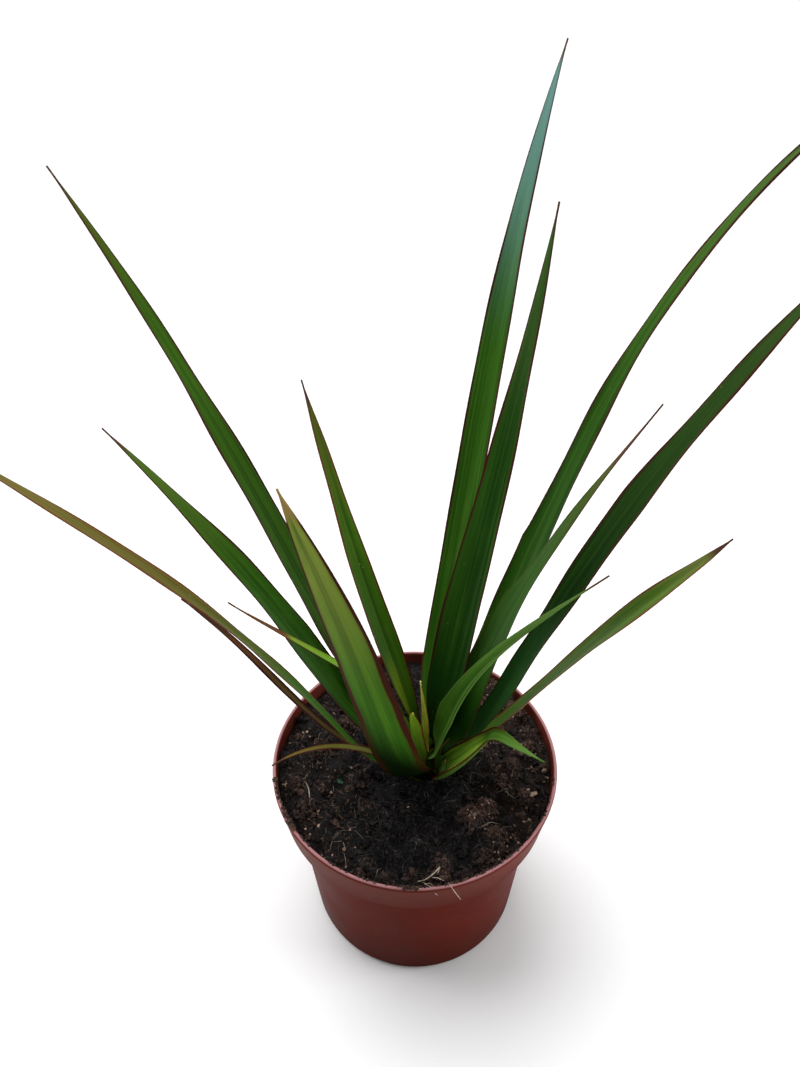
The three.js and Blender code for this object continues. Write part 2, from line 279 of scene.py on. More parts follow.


# the leaf's pattern: lengthwise veins, dark bands, a stripe that is painted light on the bent leaf's upper
# face, maroon margins, a dried tip, a top colour partly its own olive tone and partly painted sheen, and a
# foot tint that on the darkest feet is painted shade
def makeLeafPattern():
    tree = bpy.data.node_groups.new("leafPattern", "ShaderNodeTree")
    # places are shares: 0 to 1 from one edge to the other and from foot to tip, so an end at 2 is never met
    inputs = dict(
        deep=srgb(30, 62, 18), mid=srgb(48, 85, 24), light=srgb(70, 108, 36),
        top=srgb(60, 90, 40), foot=srgb(70, 100, 25), margin=srgb(66, 26, 24),
        stripeAndPaintedLight=srgb(40, 70, 16), dry=srgb(84, 56, 42),
        veinCount=12.0, marginWidth=0.65, marginEnd=2.0, marginTop=1.0, bandScale=4.2,
        stripePlace=0.5, stripeWidth=0.1, stripeShare=0.0, stripeEnd=2.0, stripeFace=0.0,
        topStart=0.5, tipStart=0.93, footEnd=0.12, footShare=0.6, footTilt=0.0,
        ribShare=0.2, paleBack=0.16, fleckShare=0.15, seed=0.0,
    )
    outputs = {"Color": "NodeSocketColor", "Roughness": "NodeSocketFloat", "Height": "NodeSocketFloat"}
    for label, value in inputs.items():
        kind = "NodeSocketColor" if isinstance(value, tuple) else "NodeSocketFloat"
        tree.interface.new_socket(name=label, in_out="INPUT", socket_type=kind).default_value = value
    for label, kind in outputs.items():
        tree.interface.new_socket(name=label, in_out="OUTPUT", socket_type=kind)
    given = tree.nodes.new("NodeGroupInput").outputs
    uv = axesOf(addNode(tree, "ShaderNodeUVMap", uv_map="UVMap").outputs["UV"])
    across, along = uv[0], uv[1]
    edgeDistance, underside = attributeOf(tree, "edgeDistance"), attributeOf(tree, "underside")

    def leafNoise(acrossScale, alongScale, shift, detail, rough=0.5):
        # noise with its own scales across and along the blade, its own shift and the leaf's seed
        made = addNode(tree, "ShaderNodeCombineXYZ")
        axes = {0: times(across, acrossScale), 1: times(along, alongScale), 2: plus(given["seed"], shift)}
        return noiseAt(fill(made, axes)[0], 1.0, detail, rough)

    veins = leafNoise(given["veinCount"], 1.3, 0.0, 4.0, 0.65)
    fineVeins = leafNoise(times(given["veinCount"], 3.2), 2.2, 1.9, 2.0, 0.6)
    bands = leafNoise(given["bandScale"], 1.1, 3.7, 1.0)
    patches = leafNoise(3.0, 9.0, 8.1, 3.0)
    wander = leafNoise(1.0, 6.0, 5.3, 1.0)
    flecks = noiseAt(objectPlace(tree), 900.0, 1.0)
    rib = times(ramp(awayFrom(across, 0.5), 0.035, 0.008), given["ribShare"])
    # the top colour is partly the leaf's own olive tone and partly a painted sheen
    top = times(ramp(along, given["topStart"], 1.0), ramp(patches, 0.2, 0.6, 0.6, 1.0))

    # the stripe is a band of colour along the blade; on the bent leaf it covers the whole upper face as
    # painted light
    stripeReach = (given["stripeWidth"], times(given["stripeWidth"], 0.3))
    stripeEdge = ramp(awayFrom(across, given["stripePlace"]), *stripeReach)
    stripeFade = ramp(along, given["stripeEnd"], minus(given["stripeEnd"], 0.15))
    stripeFace = minus(1.0, times(underside, given["stripeFace"]))
    stripeGrain = ramp(veins, 0.36, 0.58, 0.35, 1.0)
    stripeAndPaintedLight = times(stripeEdge, stripeFade, given["stripeShare"], stripeFace, stripeGrain)

    # the foot colour is the leaf's own tint on some leaves and a near-black painted shade on others
    footPlace = plus(along, times(minus(across, 0.5), given["footTilt"]))
    foot = times(ramp(footPlace, given["footEnd"], times(given["footEnd"], 0.4)), given["footShare"])
    paleBack = times(underside, given["paleBack"], minus(1.0, foot))

    # the margin wanders a little, narrows towards the tip and is weaker over the foot
    marginReach = times(
        given["marginWidth"], ramp(wander, 0.3, 0.7, 0.8, 1.2), ramp(along, 1.0, 0.7, 0.25, 1.0),
        ramp(along, 0.75, 0.4, given["marginTop"], 1.0),
    )
    marginFade = ramp(along, given["marginEnd"], minus(given["marginEnd"], 0.1))
    marginFade = times(marginFade, ramp(foot, 0.3, 1.0, 1.0, 0.45))
    blush = times(ramp(edgeDistance, times(marginReach, 2.2), marginReach, 0.0, 0.3), marginFade)
    margin = times(ramp(edgeDistance, times(marginReach, 1.15), times(marginReach, 0.8)), marginFade)
    tipPlace = plus(along, times(minus(veins, 0.5), 0.05))
    tip = ramp(tipPlace, given["tipStart"], plus(given["tipStart"], 0.035))

    colour = layered(
        tint(ramp(bands, 0.36, 0.62), given["deep"], given["mid"]),
        (ramp(veins, 0.5, 0.72, 0.0, 0.55), given["light"]),
        (ramp(veins, 0.46, 0.3, 0.0, 0.55), given["deep"]),
        (ramp(patches, 0.5, 0.8, 0.0, 0.25), given["light"]),
        (ramp(fineVeins, 0.45, 0.3, 0.0, 0.4), given["deep"]),
        (ramp(fineVeins, 0.56, 0.72, 0.0, 0.35), given["light"]),
        (rib, given["light"]), (top, given["top"]), (stripeAndPaintedLight, given["stripeAndPaintedLight"]), (foot, given["foot"]),
        (paleBack, srgb(110, 132, 80)), (blush, given["margin"]), (margin, given["margin"]),
        (tip, given["dry"]),
        (times(ramp(flecks, 0.76, 0.8), given["fleckShare"]), srgb(196, 190, 150)),
    )
    roughness = plus(ramp(veins, 0.3, 0.7, 0.4, 0.52), times(tip, 0.3), times(underside, 0.12))
    ridges = calc("SINE", times(across, times(given["veinCount"], 2 * math.pi)))
    height = plus(times(ridges, 0.06), veins, times(patches, 0.35))
    fill(tree.nodes.new("NodeGroupOutput"), {"Color": colour, "Roughness": roughness, "Height": height})
    return tree


leafPattern = makeLeafPattern()
leafFinish = dict(specular=0.02, bump=0.45, bumpDepth=0.00022)


def leafSkin(name, look):
    made, tree, shader = newMaterial(name)
    pattern = fill(addNode(tree, "ShaderNodeGroup", node_tree=leafPattern), look)
    bump = (pattern["Height"], leafFinish["bump"], leafFinish["bumpDepth"])
    finishSkin(shader, pattern["Color"], pattern["Roughness"], leafFinish["specular"], bump)
    return made


# the rings of sheaths round the stem
crown = dict(
    axis=(4.5, 0.5), innerRadius=3.9, ringStep=1.2, outerRing=6,
    baseHeight=86.4, rise=2.2, thickness=0.8, gap=0.3,
)


def sheathRadius(ring):
    return crown["innerRadius"] + ring * crown["ringStep"]


def sheathBase(ring):
    return crown["baseHeight"] + (crown["outerRing"] - ring) * crown["rise"]


def fromAxis(x, y):
    return np.hypot(x - crown["axis"][0], y - crown["axis"][1])


leafBuild = dict(
    thickness=0.5, marginThickness=0.4, tipHalfWidth=0.3, thinning=3, smoothing=50,
    sheathUpright=8.0, sheathClosed=4.0, flareLength=30.0, creaseReach=0.05,
    lineSteps=240, cellsAlong=120, cellsAcross=14, crowding=1.15, seedStep=7.31,
    # soft ripples along both edges: share, length in mm, shift from leaf to leaf and slant
    ripples=((1.0, 13, 1.7, 1), (0.6, 7.3, 2.9, -2)), rippleFade=0.15,
)
# heading, lean and twist at the foot, the middle and the tip in degrees, sizes in mm, places in shares;
# a leaf's gain brings its colours, which are as seen in the photo's light, to the shader's own
leaves = [
    # the front broad leaf's near-black foot colour is a painted shade
    dict(name="leaf_front_broad", slot="leaf_light", gain=(0.765, 0.92, 0.63), ring=5, wrap=40, opening=16,
        heading=(252, 236.1, 234.2), lean=(7.8, 13.4, 18.2), flare=48, twist=(28, 18.3, 29.6),
        length=203.8, width=17.9, widest=0.15, taper=2.76, channel=24, ripple=0.05,
        look=dict(deep=(34, 70, 4), mid=(54, 104, 13), light=(98, 134, 38), top=(140, 143, 66),
            foot=(9, 24, 3), margin=(62, 22, 14), stripeAndPaintedLight=(30, 66, 6), dry=(158, 122, 84), veinCount=9,
            marginWidth=2.3, marginTop=0.45, bandScale=3, stripePlace=0.44, stripeWidth=0.16,
            stripeShare=0.6, topStart=0.42, footEnd=0.47, footShare=1, footTilt=0.14, ribShare=0,
            paleBack=0.05)),
    dict(name="leaf_left_arching", slot="leaf_olive", gain=(1.15, 1.12, 1.2), ring=6, wrap=8, opening=60,
        heading=(209, 182.6, 165.5), lean=(-5.4, 34.7, 62.6), flare=66.6, twist=(0, 11.6, 21.9),
        length=243.9, width=7.1, widest=0.59, taper=2.08, channel=12, ripple=0.3,
        look=dict(deep=(60, 64, 18), mid=(84, 84, 30), light=(112, 106, 46), top=(102, 92, 42),
            foot=(46, 90, 22), margin=(96, 52, 28), veinCount=6, marginWidth=0.6, topStart=0.3,
            tipStart=0.95, footEnd=0.6, footShare=1)),
    dict(name="leaf_left_thin_low", slot="leaf_olive", gain=(1.55, 1.55, 1.35), ring=5, wrap=8, opening=34,
        heading=(188, 172.9, 165.3), lean=(34.8, 26.5, 52.1), flare=52.8, twist=(0, 5.6, -3.6),
        length=123.4, width=4.1, widest=0.57, taper=2.49, channel=8, ripple=0.2,
        look=dict(deep=(58, 46, 22), mid=(82, 66, 34), light=(104, 92, 48), top=(108, 60, 38),
            foot=(52, 58, 22), veinCount=5, marginWidth=0.9, topStart=0.3, tipStart=0.8, footEnd=0.5)),
    # the bent leaf's wide pale stripe on its upper face is painted light
    dict(name="leaf_front_right_bent", slot="leaf_light", gain=(1.2, 1.1, 1.3), ring=6, wrap=16, opening=12,
        heading=(-56, -28.6, -20.1), lean=(21.6, 21.6, 22.6), flare=13.7, twist=(25.8, 13.7, -33.8),
        length=74.2, width=17, widest=0.27, taper=1.19, channel=5.4, ripple=0.1, crease=(0.72, 90),
        look=dict(deep=(28, 62, 3), mid=(52, 94, 12), light=(88, 128, 42), top=(80, 118, 46),
            foot=(48, 92, 8), margin=(66, 26, 12), stripeAndPaintedLight=(138, 182, 58), veinCount=8, marginWidth=0.7,
            marginEnd=0.8, stripeWidth=1.6, stripeShare=0.85, stripeEnd=0.66, stripeFace=1, topStart=0.55,
            tipStart=0.985, footEnd=0.3, footShare=0)),
    dict(name="leaf_left_drooping", slot="leaf_olive", gain=(1.2, 1.3, 1.4), ring=4, wrap=8, opening=20,
        heading=(219, 209.6, 208.9), lean=(53, 45.7, 105.6), flare=-2.3, twist=(0, -1.1, -1.7),
        length=77.8, width=3.9, widest=0.41, taper=2.28, channel=6, ripple=0.15,
        look=dict(deep=(64, 64, 20), mid=(82, 82, 30), light=(120, 120, 54), top=(108, 84, 38),
            foot=(74, 58, 24), veinCount=5, marginWidth=0.5, footEnd=0.3)),
    dict(name="leaf_right_spreading", slot="leaf_light", gain=(1.6, 1.65, 1.8), ring=4, wrap=20, opening=90,
        heading=(-2, -18.9, 0.7), lean=(9.8, 24.5, 38.5), flare=55.1, twist=(0, -6.9, 15.8),
        length=160.3, width=12.7, widest=0.6, taper=1.73, channel=14, ripple=0.3,
        look=dict(deep=(58, 84, 20), mid=(76, 100, 34), light=(104, 128, 58), top=(96, 92, 48),
            foot=(70, 110, 20), margin=(100, 50, 34), veinCount=7, marginWidth=0.7, topStart=0.8,
            footEnd=0.3, footShare=0.5)),
    dict(name="leaf_back_left_broad", slot="leaf_green", gain=(1.55, 1.55, 1.35), ring=3, wrap=38,
        opening=34,
        heading=(176, 177.2, 158.4), lean=(11.7, 23, 47.1), flare=52.6, twist=(0, -5.5, 5.9),
        length=185.2, width=16.5, widest=0.42, taper=1.15, channel=20, ripple=0.35,
        look=dict(deep=(22, 54, 5), mid=(36, 74, 12), light=(60, 98, 26), top=(62, 84, 30),
            marginWidth=0.6, topStart=0.55)),
    dict(name="leaf_front_cut", slot="leaf_light", gain=(1.55, 1.55, 1.35), ring=4, wrap=12, opening=20,
        heading=(260, 215, 192), lean=(11.3, 9.5, 2), flare=-1.7, twist=(0, 22, 28),
        length=44, width=7.4, widest=0.55, taper=6, channel=6, ripple=0.1,
        look=dict(deep=(58, 100, 8), mid=(76, 118, 14), light=(112, 148, 30), top=(112, 146, 20),
            foot=(50, 92, 10), margin=(104, 44, 22), dry=(190, 184, 110), veinCount=6, marginWidth=0.5,
            tipStart=0.975, footEnd=0.4)),
    dict(name="leaf_right_dark", slot="leaf_green", gain=(0.98, 0.92, 1.05), ring=3, wrap=26, opening=34,
        heading=(-12, 4.6, 4.2), lean=(2.9, 23.7, 39.6), flare=50.2, twist=(0, 9.4, -11.1),
        length=263.5, width=12.1, widest=0.56, taper=1.02, channel=20, ripple=0.4,
        look=dict(deep=(16, 44, 8), mid=(28, 60, 14), light=(46, 82, 26), top=(54, 82, 32),
            foot=(60, 114, 50), topStart=0.45, footEnd=0.42, footShare=0.9)),
    dict(name="leaf_back_left_tall", slot="leaf_green", gain=(1.08, 1.03, 0.98), ring=2, wrap=38,
        opening=34,
        heading=(156, 162.9, 162.9), lean=(22.3, 21.1, 31), flare=32.5, twist=(0, -3, 0.1),
        length=251.9, width=13.2, widest=0.39, taper=1.62, channel=18, ripple=0.35,
        look=dict(deep=(34, 70, 8), mid=(50, 90, 16), light=(80, 120, 40), top=(74, 82, 32),
            topStart=0.75, tipStart=0.95)),
    dict(name="leaf_left_short", slot="leaf_light", gain=(1.55, 1.55, 1.35), ring=2, wrap=14, opening=40,
        heading=(217, 198.6, 189.4), lean=(13, 38.6, 41), flare=-20.5, twist=(0, -1.1, -2.3),
        length=128.4, width=7.6, widest=0.11, taper=1.63, channel=6, ripple=0.2,
        look=dict(deep=(62, 104, 14), mid=(84, 128, 26), light=(134, 160, 60), top=(96, 88, 36),
            dry=(78, 52, 30), veinCount=6, marginWidth=0.3, topStart=0.6, tipStart=0.78)),
    # the right thin leaf's near-black foot colour is a painted shade
    dict(name="leaf_right_thin", slot="leaf_green", gain=(0.9, 1, 0.72), ring=1, wrap=38, opening=24,
        heading=(-10, -22, 11.6), lean=(3.7, 14.8, 32.3), flare=28.4, twist=(47.7, 20.9, -18.5),
        length=183.4, width=18.9, widest=0.5, taper=0.6, channel=29.6, ripple=0.2,
        look=dict(deep=(30, 66, 8), mid=(44, 82, 14), light=(70, 106, 30), top=(80, 78, 38),
            foot=(12, 36, 5), marginWidth=0.2, topStart=0.6, tipStart=0.86, footEnd=0.34, footShare=0.9,
            paleBack=0.06)),
    dict(name="leaf_right_creased", slot="leaf_light", gain=(1.1, 1.05, 1.3), ring=3, wrap=20, opening=20,
        heading=(-69.5, -42, 1.5), lean=(5.3, 22.1, 47.1), flare=7.6, twist=(49.6, 75.6, 0.8),
        length=148, width=9.7, widest=0.33, taper=0.61, channel=13.6, ripple=0.2,
        look=dict(deep=(36, 76, 10), mid=(54, 94, 20), light=(90, 128, 46), top=(80, 108, 46),
            foot=(96, 136, 50), margin=(80, 112, 46), stripeAndPaintedLight=(92, 126, 54), veinCount=7, marginWidth=0.3,
            stripePlace=0.2, stripeWidth=0.08, stripeShare=0.6, footEnd=0.25, footShare=0.4,
            ribShare=0.25)),
    # the tallest back leaf's bluish top colour is a painted sheen
    dict(name="leaf_back_tallest", slot="leaf_green", gain=(1.6, 1.55, 1.45), ring=1, wrap=32, opening=34,
        heading=(82, 58.6, 57.6), lean=(45, 15.7, 34.9), flare=23.6, twist=(0, 4.4, -2.4),
        length=273.8, width=12.3, widest=0.47, taper=1.85, channel=16, ripple=0.3,
        look=dict(deep=(34, 72, 12), mid=(52, 92, 26), light=(72, 110, 42), top=(92, 132, 130),
            foot=(24, 58, 8), topStart=0.6, tipStart=0.96, footEnd=0.3)),
    dict(name="leaf_right_tall", slot="leaf_green", gain=(1.12, 1.18, 1.15), ring=2, wrap=38, opening=30,
        heading=(22, 12.8, 19.5), lean=(38.9, 18.5, 75.4), flare=-14.2, twist=(-14.1, 6.5, 0),
        length=298.6, width=16.2, widest=0.36, taper=0.6, channel=13.3, ripple=0.4,
        look=dict(deep=(26, 62, 8), mid=(42, 80, 16), light=(72, 106, 38), top=(80, 108, 50),
            foot=(40, 84, 10), marginWidth=0.6, tipStart=0.96, footEnd=0.42, paleBack=0.09)),
    dict(name="leaf_back_dark", slot="leaf_green", gain=(1.5, 1.5, 1.4), ring=0, wrap=60, opening=34,
        heading=(28, 29.9, 33.8), lean=(5, 10.8, 7.3), flare=7.3, twist=(12, 13, 22.2),
        length=217.4, width=17.8, widest=0.31, taper=1.11, channel=20, ripple=0.3,
        look=dict(deep=(18, 48, 8), mid=(32, 66, 14), light=(48, 86, 26), top=(50, 76, 34),
            foot=(20, 50, 14), topStart=0.6, tipStart=0.95, footEnd=0.3, footShare=0.9)),
    dict(name="leaf_back_left_slim", slot="leaf_green", gain=(1.7, 1.65, 1.4), ring=0, wrap=56, opening=40,
        heading=(166, 149.4, 146.7), lean=(25.1, 17, 14.9), flare=-17.5, twist=(0, -0.3, -2.2),
        length=165.4, width=14.8, widest=0.11, taper=1.92, channel=14, ripple=0.25,
        look=dict(deep=(34, 70, 8), mid=(50, 88, 14), light=(82, 112, 34), top=(62, 64, 20),
            foot=(74, 108, 28), margin=(80, 32, 16), stripeAndPaintedLight=(140, 168, 24), stripePlace=0.66,
            stripeWidth=0.34, stripeShare=0.75, stripeEnd=0.34, topStart=0.6, footEnd=0.35,
            footShare=0.35, fleckShare=0.6)),
    dict(name="leaf_inner_spear", slot="leaf_light", gain=(2, 1.9, 1.6), ring=0, wrap=28, opening=20,
        heading=(262, 230, 222), lean=(2, 6, 8), flare=-5, twist=(0, 0, 0),
        length=46, width=4, widest=0.3, taper=1.6, channel=3, ripple=0,
        look=dict(deep=(150, 158, 44), mid=(178, 180, 66), light=(212, 206, 108), top=(196, 190, 112),
            margin=(150, 116, 44), dry=(206, 196, 140), veinCount=5, marginWidth=0.2, topStart=0.7)),
    # a small blade beside the bent leaf's foot, too small for a node of its own
    dict(name="crown_scrap", slot="leaf_light", gain=(1.2, 1.1, 1.3), ring=5, wrap=2, opening=10,
        heading=(-60.9, -52.9, 32.8), lean=(20.9, 1.6, 50.5), flare=0, twist=(0, 3.6, -28.4),
        length=27.3, width=4.6, widest=0.35, taper=1.5, channel=8, ripple=0,
        look=dict(deep=(34, 70, 6), mid=(56, 98, 12), light=(88, 128, 42), margin=(80, 34, 16),
            veinCount=6, marginWidth=0.5, tipStart=0.98)),
]


def through(values, part):
    # the curve through the three values at 0, 0.5 and 1
    base, middle, tip = values
    return base * (1 - part) * (1 - 2 * part) + middle * 4 * part * (1 - part) + tip * part * (2 * part - 1)


def leafLine(leaf):
    # points, directions, half widths and bends along the leaf's middle line, in mm
    steps = leafBuild["lineSteps"]
    part = np.linspace(0, 1, steps + 1)
    along = part * leaf["length"]
    first = math.radians(leaf["heading"][0])
    ringRadius = sheathRadius(leaf["ring"])
    lean = through(leaf["lean"], part) + leaf["flare"] * np.exp(-along / leafBuild["flareLength"])
    lean = lean * smoothStep(along, 0, leafBuild["sheathUpright"])
    if "crease" in leaf:
        creaseAt, turn = leaf["crease"]
        reach = leafBuild["creaseReach"]
        lean = lean + turn * smoothStep(part, creaseAt - reach, creaseAt + reach)
    heading, tilt = np.radians(through(leaf["heading"], part)), np.radians(lean)
    direction = np.stack([np.sin(tilt) * np.cos(heading), np.sin(tilt) * np.sin(heading), np.cos(tilt)], 1)
    start = np.array([
        crown["axis"][0] + ringRadius * math.cos(first),
        crown["axis"][1] + ringRadius * math.sin(first),
        sheathBase(leaf["ring"]),
    ])
    stepsTaken = np.cumsum(direction[:-1], axis=0) * leaf["length"] / steps
    points = start + np.vstack([np.zeros(3), stepsTaken])
    past = np.clip((part - leaf["widest"]) / (1 - leaf["widest"]), 0, None)
    blade = leaf["width"] / 2 * (1 - past ** leaf["taper"])
    opened = smoothStep(along, leafBuild["sheathClosed"], leaf["opening"])
    sheathHalf = ringRadius * math.radians(leaf["wrap"])
    half = np.maximum(leafBuild["tipHalfWidth"], sheathHalf + (blade - sheathHalf) * opened)
    bend = 1 / ringRadius + (1 / leaf["channel"] - 1 / ringRadius) * opened
    across = np.stack([-np.sin(heading), np.cos(heading), np.zeros_like(heading)], 1)
    turnedBy = (np.radians(through(leaf["twist"], part)) * opened)[:, None]
    across = across * np.cos(turnedBy) + np.cross(direction, across) * np.sin(turnedBy)
    return part, points, direction, across, half, bend, opened


def mapBlade(piece, side, share):
    # the UV map runs across and along the blade in shares
    layer = piece.data.uv_layers[0]
    layer.name = "UVMap"
    corners = np.empty(len(piece.data.loops), dtype=np.int32)
    piece.data.loops.foreach_get("vertex_index", corners)
    uv = np.stack([(side[corners] + 1) / 2, share[corners]], 1)
    layer.data.foreach_set("uv", uv.astype(np.float32).reshape(-1))


def thickenBlade(piece, side):
    # thinner towards both edges
    flesh = piece.vertex_groups.new(name="flesh")
    for index, weight in enumerate(1 - np.abs(side) ** leafBuild["thinning"]):
        flesh.add([index], float(weight), "REPLACE")
    wall = piece.modifiers.new("wall", "SOLIDIFY")
    wall.thickness = leafBuild["thickness"] * mm
    wall.offset = 0
    wall.vertex_group = "flesh"
    wall.thickness_vertex_group = leafBuild["marginThickness"]
    applyModifier(piece, wall)


def growLeaf(leaf, seed):
    clearSelection()
    cells = {"x_subdivisions": leafBuild["cellsAcross"], "y_subdivisions": leafBuild["cellsAlong"]}
    bpy.ops.mesh.primitive_grid_add(size=1, **cells)
    piece = bpy.context.object
    shortName = leaf["name"].replace("leaf_", "")
    piece.name = "blade_" + shortName
    flat = pointsOf(piece)
    side = -2 * flat[:, 0]
    share = np.clip(flat[:, 1] + 0.5, 0, 1) ** leafBuild["crowding"]
    part, *alongLine = leafLine(leaf)

    def at(values):
        if values.ndim == 1:
            return np.interp(share, part, values)
        return np.stack([np.interp(share, part, column) for column in values.T], 1)

    points, direction, across, half, bend, opened = [at(values) for values in alongLine]
    upward = np.cross(direction, across)
    angle, radius = half * bend * side, 1 / bend
    sideways, rise = radius * np.sin(angle), radius * (1 - np.cos(angle))
    spots = points + across * sideways[:, None] + upward * rise[:, None]
    # the ripples die out at the foot, at the tip and towards the middle line
    along = share * leaf["length"]
    fade = opened * smoothStep(1 - share, 0, leafBuild["rippleFade"]) * np.abs(side) ** 2
    wave = sum(strength * np.sin(along / length + seed * shift + slant * side)
               for strength, length, shift, slant in leafBuild["ripples"])
    spots = (spots + upward * (leaf["ripple"] * wave * fade)[:, None]) * mm
    setPoints(piece, spots)
    mapBlade(piece, side, share)
    setAttribute(piece, "edgeDistance", half * (1 - np.abs(side)))
    thickenBlade(piece, side)
    # the shell that lies below the middle surface is the leaf's underside
    count = len(spots)
    firstIsUpper = np.sum((pointsOf(piece)[:count] - spots) * upward) > 0
    underside = np.r_[np.full(count, not firstIsUpper), np.full(count, firstIsUpper)]
    setAttribute(piece, "underside", underside.astype(float))
    fixSurface(piece)
    smoothByAngle(piece, leafBuild["smoothing"])
    look = {"seed": seed * leafBuild["seedStep"], **leaf["look"]}
    for key, value in leaf["look"].items():
        if isinstance(value, tuple):
            look[key] = (*[level * gain for level, gain in zip(srgb(*value), leaf["gain"])], 1.0)
    piece.data.materials.append(leafSkin("skin_" + shortName, look))
    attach(piece, "root")
    if leaf["name"].startswith("leaf_"):
        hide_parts(leaf["name"])


for number, leaf in enumerate(leaves):
    growLeaf(leaf, number + 1)
print("leaves grown:", len(leaves))


# pot
potSizes = dict(
    rimRadius=60, height=93, footRadius=47.3, footEdge=2.4, footRounding=0.7,
    bodyTopRadius=52.4, collarHeight=18.3, collarFootRadius=57.4, wall=1.2,
    lipThickness=1.8, lipDepth=3, lipShoulder=1.6, lipRounding=0.3, floor=2.6,
    gateRadius=3.1, gateDepth=0.5, grooveInside=17.6, grooveOutside=19.2,
    grooveSlope=0.4, grooveDepth=0.35, holes=8, holeRadius=4.2, holeRing=30, holeSides=40,
    cutterDepth=12, channelWidth=7, channelDepth=1.1, turns=160, softening=0.45,
)
collarFoot = potSizes["height"] - potSizes["collarHeight"]


def insideRadius(height):
    if height > collarFoot + potSizes["wall"]:
        low, high, part = "collarFootRadius", "rimRadius", (height - collarFoot) / potSizes["collarHeight"]
    else:
        low, high, part = "footRadius", "bodyTopRadius", height / collarFoot
    return potSizes[low] + (potSizes[high] - potSizes[low]) * part - potSizes["wall"]


def turnProfile(name, profile, turns, closed):
    # a ring of points laid on the profile, then spun round the Z axis
    clearSelection()
    bpy.ops.mesh.primitive_circle_add(vertices=len(profile), radius=0.01)
    piece = bpy.context.object
    piece.name = name
    setPoints(piece, [(radius * mm, 0, height * mm) for radius, height in profile])
    bpy.ops.object.mode_set(mode="EDIT")
    bpy.ops.mesh.select_mode(type="EDGE")
    bpy.ops.mesh.select_all(action="DESELECT")
    if not closed:
        # the last side lies on the axis and is taken out
        bpy.ops.object.mode_set(mode="OBJECT")
        ends = {0, len(profile) - 1}
        for edge in piece.data.edges:
            edge.select = set(edge.vertices) == ends
        bpy.ops.object.mode_set(mode="EDIT")
        bpy.ops.mesh.delete(type="EDGE")
    bpy.ops.mesh.select_all(action="SELECT")
    bpy.ops.mesh.spin(steps=turns, angle=2 * math.pi, center=(0, 0, 0), axis=(0, 0, 1))
    bpy.ops.object.mode_set(mode="OBJECT")
    fixSurface(piece, 2e-6)
    return piece


def cutAway(piece, cutters):
    clearSelection()
    for cutter in cutters:
        cutter.select_set(True)
    bpy.context.view_layer.objects.active = cutters[0]
    bpy.ops.object.join()
    choose(cutters[0])
    bpy.ops.object.transform_apply(location=True, rotation=True, scale=True)
    cut = piece.modifiers.new("cut", "BOOLEAN")
    cut.operation = "DIFFERENCE"
    cut.solver = "EXACT"
    cut.object = cutters[0]
    applyModifier(piece, cut)
    bpy.data.objects.remove(cutters[0], do_unlink=True)


def makePot():
    size, top = potSizes, potSizes["height"]
    ledge = collarFoot + size["wall"]
    underLip, shoulder = top - size["lipDepth"], top - size["lipShoulder"]
    lipInside = size["rimRadius"] - size["lipThickness"]
    profile = [
        (0, size["gateDepth"]), (size["gateRadius"] - size["gateDepth"], size["gateDepth"]),
        (size["gateRadius"], 0),
        (size["grooveInside"], 0), (size["grooveInside"] + size["grooveSlope"], size["grooveDepth"]),
        (size["grooveOutside"] - size["grooveSlope"], size["grooveDepth"]), (size["grooveOutside"], 0),
        (size["footRadius"] - size["footEdge"], 0),
        (size["footRadius"] - size["footRounding"], size["footRounding"]),
        (size["footRadius"], size["footEdge"]),
        (size["bodyTopRadius"], collarFoot), (size["collarFootRadius"], collarFoot),
        (insideRadius(underLip) + size["wall"], underLip),
        (size["rimRadius"], shoulder),
        (size["rimRadius"] - size["lipRounding"], top - size["lipRounding"]),
        (size["rimRadius"] - size["lipThickness"] / 2, top),
        (lipInside + size["lipRounding"], top - size["lipRounding"]),
        (lipInside, shoulder), (insideRadius(underLip), underLip),
        (size["collarFootRadius"] - size["wall"], ledge), (size["bodyTopRadius"] - size["wall"], ledge),
        (insideRadius(size["floor"]), size["floor"]), (0, size["floor"]),
    ]
    pot = turnProfile("nurseryPot", profile, size["turns"], False)
    softenEdges(pot, size["softening"], segments=3, degrees=14)
    holes, channels = [], []
    reach = size["rimRadius"] - size["holeRing"]
    for i in range(size["holes"]):
        angle = (i + 0.5) / size["holes"] * 2 * math.pi
        near, far = [
            (radius * math.cos(angle) * mm, radius * math.sin(angle) * mm, 0)
            for radius in (size["holeRing"], size["holeRing"] + reach / 2)
        ]
        bpy.ops.mesh.primitive_cylinder_add(
            vertices=size["holeSides"], radius=size["holeRadius"] * mm, depth=size["cutterDepth"] * mm,
            location=near)
        holes.append(bpy.context.object)
        bpy.ops.mesh.primitive_cube_add(size=1, location=far, rotation=(0, 0, angle))
        channels.append(bpy.context.object)
        channels[-1].scale = (reach * mm, size["channelWidth"] * mm, size["channelDepth"] * 2 * mm)
    cutAway(pot, holes)
    cutAway(pot, channels)
    fixSurface(pot)
    smoothByAngle(pot, 32)
    return pot


# the collar's paler grey is a painted sheen, the lip's pink a painted highlight, and low a painted shade,
# darker towards the bottom
plasticPaint = dict(
    dark=srgb(78, 17, 6), warm=srgb(88, 23, 9), collar=srgb(112, 64, 54), lipHighlight=srgb(178, 128, 131),
    film=srgb(104, 48, 32), low=srgb(62, 18, 8), speck=(0.01, 0.006, 0.005, 1.0),
    # where each tint starts and ends above the ground, in metres
    collarReach=(0.073, 0.09), lipHighlightReach=(0.0923, 0.0929), paintedShadeReach=(0.05, 0.0),
    speckScale=260.0, speckNoise=111.8,
)


